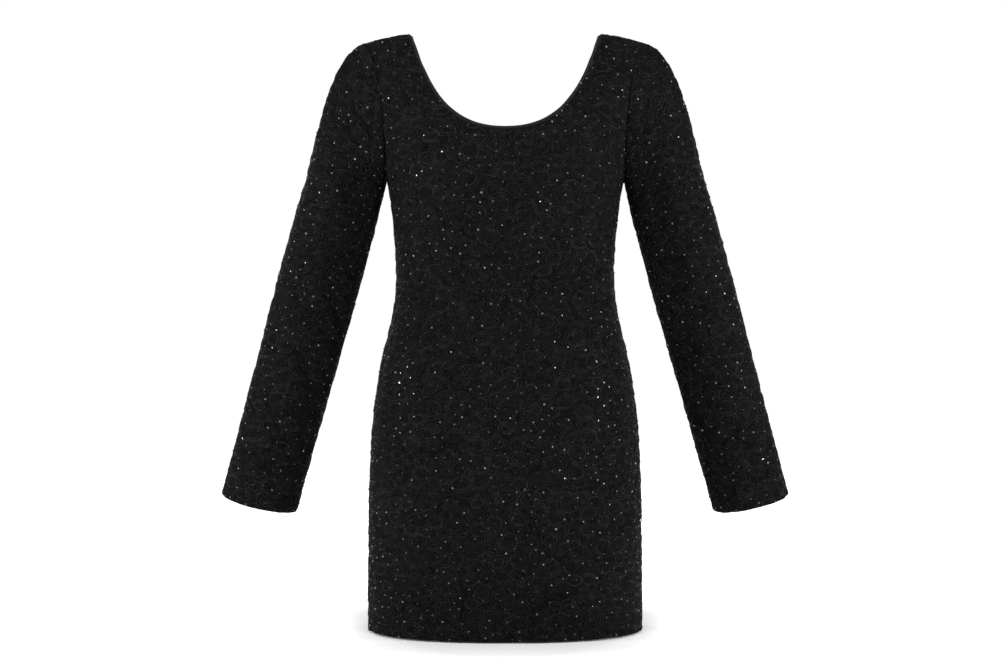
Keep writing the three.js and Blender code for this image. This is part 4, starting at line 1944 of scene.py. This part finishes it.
@dataclass(frozen=True)
class FloorFinish:
    """A plain white studio floor that glows away from the dress: painted light that washes out
    the sleeves' cast shadows and leaves the contact shadow under the hem.
    """

    shade: tuple[float, float, float] = (0.7, 0.7, 0.7)
    pale: tuple[float, float, float] = (0.72, 0.72, 0.72)
    cloud: tuple[float, float] = (3, 2)  # cycles a metre and detail
    roughness: float = 0.9
    shine: float = 0.1
    glow: float = 0.84
    half_width: float = 0.243  # the floor's glow is full this far to the sides of the middle
    half_depth: float = 0.283  # and this far before and behind it

    def material(self) -> bpy.types.Material:
        """The finish as a material.

        Returns:
            The material.
        """
        bench = Bench("studio_floor")
        place = bench.signal(bench.add("ShaderNodeTexCoord"), "Object")
        parts = bench.add("ShaderNodeSeparateXYZ", None, {0: place})
        wide = bench.signal(parts, 0) * (1 / self.half_width)
        deep = bench.signal(parts, 1) * (1 / self.half_depth)
        share = (wide * wide) ** 2 + (deep * deep) ** 2
        return bench.finish(
            Base_Color=bench.blend(bench.noise(*self.cloud), self.shade, self.pale),
            Roughness=self.roughness,
            Specular_IOR_Level=self.shine,
            # Painted light: the floor glows more away from the middle, washing out cast shadows
            # there.
            Emission_Color=bench.blend(share, (0, 0, 0), (1, 1, 1)),
            Emission_Strength=self.glow,
        )


@dataclass(frozen=True)
class SoftBox:
    """A square studio light that faces a point of the dress."""

    name: str
    place: tuple[float, float, float]
    size: float
    power: float
    aim: tuple[float, float, float] = (0, 0, -0.35)

    def build(self) -> None:
        """Adds the light, its place in metres and its power in watts."""
        light = bpy.data.lights.new(self.name, "AREA")
        light.size = self.size
        light.energy = self.power
        lamp = bpy.data.objects.new(self.name, light)
        bpy.context.scene.collection.objects.link(lamp)
        lamp.location = self.place
        way = Vector(self.aim) - Vector(self.place)
        lamp.rotation_euler = way.to_track_quat("-Z", "Y").to_euler()


@dataclass
class Studio:
    """The camera at the photograph's view, white surroundings, soft lights and a pale floor."""

    floor_gap: float = 0.002
    floor_radius: float = 9.0
    white: float = 1.0
    fill: float = 0.28
    camera_place: tuple[float, float, float] = (-0.00145, -2.4, -0.399)
    lens: float = 64.93
    sensor: float = 36
    sight: float = 100
    floor_sides: int = 96
    lights: tuple[SoftBox, ...] = (
        SoftBox("front_left_light", (-1.7, -2.8, 1.0), 0.5, 17),
        SoftBox("front_right_light", (1.7, -2.8, 1.0), 0.5, 17),
        SoftBox("low_front_light", (0.3, -3.0, -0.1), 0.4, 4),
        SoftBox("top_light", (0.0, -0.5, 2.2), 0.7, 35),
        SoftBox("left_light", (-2.6, -0.8, 0.1), 0.6, 40),
        SoftBox("right_light", (2.6, -0.8, 0.1), 0.6, 40),
        SoftBox("back_left_light", (-1.9, 2.6, 0.9), 0.5, 24),
        SoftBox("back_right_light", (1.9, 2.6, 0.9), 0.5, 24),
    )

    def build(self, floor_level: float) -> None:
        """Sets the studio up, with the floor just under the hem.

        Args:
            floor_level: The hem's level in metres.
        """
        scene = bpy.context.scene
        camera = bpy.data.cameras.new("photo_camera")
        camera.lens = self.lens
        camera.sensor_width = self.sensor
        camera.clip_end = self.sight
        holder = bpy.data.objects.new("photo_camera", camera)
        scene.collection.objects.link(holder)
        holder.location = self.camera_place
        holder.rotation_euler = (math.radians(90), 0, 0)
        scene.camera = holder
        bench = Bench("white_surroundings", surroundings=True)
        seen = bench.signal(bench.add("ShaderNodeLightPath"), "Is Camera Ray")
        strength = self.fill + (self.white - self.fill) * seen
        scene.world = bench.finish(Color=(1, 1, 1, 1), Strength=strength)
        scene.view_settings.view_transform = "Standard"
        for light in self.lights:
            light.build()
        bpy.ops.object.select_all(action="DESELECT")
        bpy.ops.mesh.primitive_circle_add(
            vertices=self.floor_sides,
            radius=self.floor_radius,
            fill_type="NGON",
            location=(0, 0, floor_level - self.floor_gap),
        )
        floor = bpy.context.active_object
        floor.name = "floor"
        bpy.ops.object.transform_apply(location=True, rotation=True, scale=True)
        floor.data.materials.append(FloorFinish().material())
        floor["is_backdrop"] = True


FRONT_CREASES = (
    Crease((-118, -205), (-62, -262), 3.3, 9, 3),
    Crease((121, -214), (70, -258), 2.7, 8, -3),
    Crease((-150, -236), (-88, -292), 2.4, 10, 4),
    Crease((148, -250), (96, -306), 2.8, 9, -4),
    Crease((-112, -150), (-84, -206), 2.0, 8, 2),
    Crease((108, -146), (88, -196), 1.7, 9, -2),
    Crease((-132, -338), (-38, -352), 2.2, 8, -4),
    Crease((128, -362), (52, -374), 2.5, 9, 5),
    Crease((-150, -392), (-64, -380), 2.1, 10, 4),
    Crease((40, -318), (118, -330), 1.7, 9, -3),
    Crease((-96, -470), (22, -486), 2.0, 12, 6),
    Crease((150, -446), (74, -470), 2.1, 11, -4),
    Crease((-170, -560), (-120, -640), 1.8, 12, 5),
    Crease((168, -600), (128, -700), 2.0, 13, -5),
)
BACK_CREASES = (
    Crease((-128, -300), (-20, -322), 3.2, 9, -5),
    Crease((122, -292), (26, -312), 2.8, 10, 4),
    Crease((-96, -352), (64, -344), 3.4, 10, 6),
    Crease((118, -384), (18, -392), 2.7, 9, -4),
    Crease((-132, -402), (-46, -408), 2.2, 11, 5),
    Crease((-116, -200), (-70, -260), 2.5, 9, 3),
    Crease((112, -190), (74, -252), 2.8, 9, -3),
    Crease((-60, -640), (52, -652), 2.0, 14, 5),
    Crease((-168, -590), (-126, -690), 2.0, 12, 4),
    Crease((164, -570), (122, -664), 1.8, 12, -4),
)
SLEEVE_CREASES = (
    Crease((-86, 250), (-20, 292), 3.0, 9, 4),
    Crease((92, 268), (38, 318), 2.7, 9, -4),
    Crease((-118, 300), (-62, 338), 2.5, 8, 3),
    Crease((120, 322), (66, 372), 2.8, 10, -4),
    Crease((-112, 96), (-72, 150), 2.7, 9, 3),
    Crease((108, 84), (74, 146), 3.0, 9, -3),
    Crease((-70, 396), (8, 424), 2.0, 10, 4),
    Crease((104, 430), (52, 476), 2.1, 10, -3),
    Crease((-44, 150), (-16, 224), 1.8, 11, 3),
)


@dataclass
class ClothPart:
    """One dressed piece: its cloth, its embroidery, its stones and the solid it stands for."""

    name: str
    node: str
    shape: Panel | Sleeve
    seed: int
    flat: tuple[float, float]
    area: float
    most_rings: int = 930
    most_curls: int = 160
    thickness: float = 1.0
    stone_seed: int = 100  # what the stones' seed adds to the embroidery's

    def build(self, knit: Any, thread: Any, stone: Any) -> None:
        """Args:
            knit: The cloth's material.
            thread: The embroidery's material.
            stone: The stones' material.
        """
        self.shape.lay_out()
        grid = self.shape.grid
        work = Embroidery(grid, self.seed, most_rings=self.most_rings, most_curls=self.most_curls)
        work.plan()
        cloth = grid.build(f"{self.name}_cloth", self.thickness)
        rings = work.stitch(f"{self.name}_embroidery")
        stones = Stones(grid, self.seed + self.stone_seed).scatter(f"{self.name}_stones")
        for piece, material in ((cloth, knit), (rings, thread), (stones, stone)):
            piece.data.materials.append(material)
            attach(piece, "root")
            LOG.info("%s: %d faces", piece.name, len(piece.data.polygons))
        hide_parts(self.node)


@dataclass
class Dress:
    """The whole dress: front, back, two sleeves and the neck binding."""

    form: BodyForm = field(default_factory=BodyForm)

    def build(self) -> None:
        """Builds and dresses every part."""
        knit = KnitFinish().material()
        thread = ThreadFinish().material()
        stone = StoneFinish().material()
        hole = Armhole(self.form)
        low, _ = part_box("front_panel")
        hem = low.z / MM
        front = Panel(Side.FRONT, self.form, hole, hem, FRONT_CREASES)
        back = Panel(Side.BACK, self.form, hole, hem, BACK_CREASES, neck_depth=138)
        right = Sleeve(Hand.RIGHT, self.form, hole, SLEEVE_CREASES)
        left = Sleeve(Hand.LEFT, self.form, hole, SLEEVE_CREASES)
        parts = (
            ClothPart("front", "front_panel", front, 11, (0.50, 0.83), 0.32),
            ClothPart("back", "back_panel", back, 23, (0.49, 0.83), 0.31),
            ClothPart("sleeve_right", "sleeve_right", right, 37, (0.42, 0.64), 0.165, 520, 110),
            ClothPart("sleeve_left", "sleeve_left", left, 41, (0.42, 0.64), 0.165, 520, 110),
        )
        for part in parts:
            part.build(knit, thread, stone)
        binding = NeckBinding(front, back).build("neck_binding_strip")
        binding.data.materials.append(SatinFinish().material())
        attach(binding, "root")
        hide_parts("neck_binding")
        LOG.info("%s: %d faces", binding.name, len(binding.data.polygons))


def corners(box: Any) -> list[list[float]]:
    """A box as two plain lists of numbers."""
    return [[float(value) for value in corner] for corner in box]


def main() -> None:
    """Loads the frame, builds the dress, and builds its studio with the floor under the solids'
    lowest point.
    """
    logging.basicConfig(level=logging.INFO, format="%(name)s: %(message)s")
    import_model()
    solid = corners(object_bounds())
    Dress().build()
    Studio().build(solid[0][2])
    LOG.info("the dress is built")


if __name__ == "__main__":
    main()
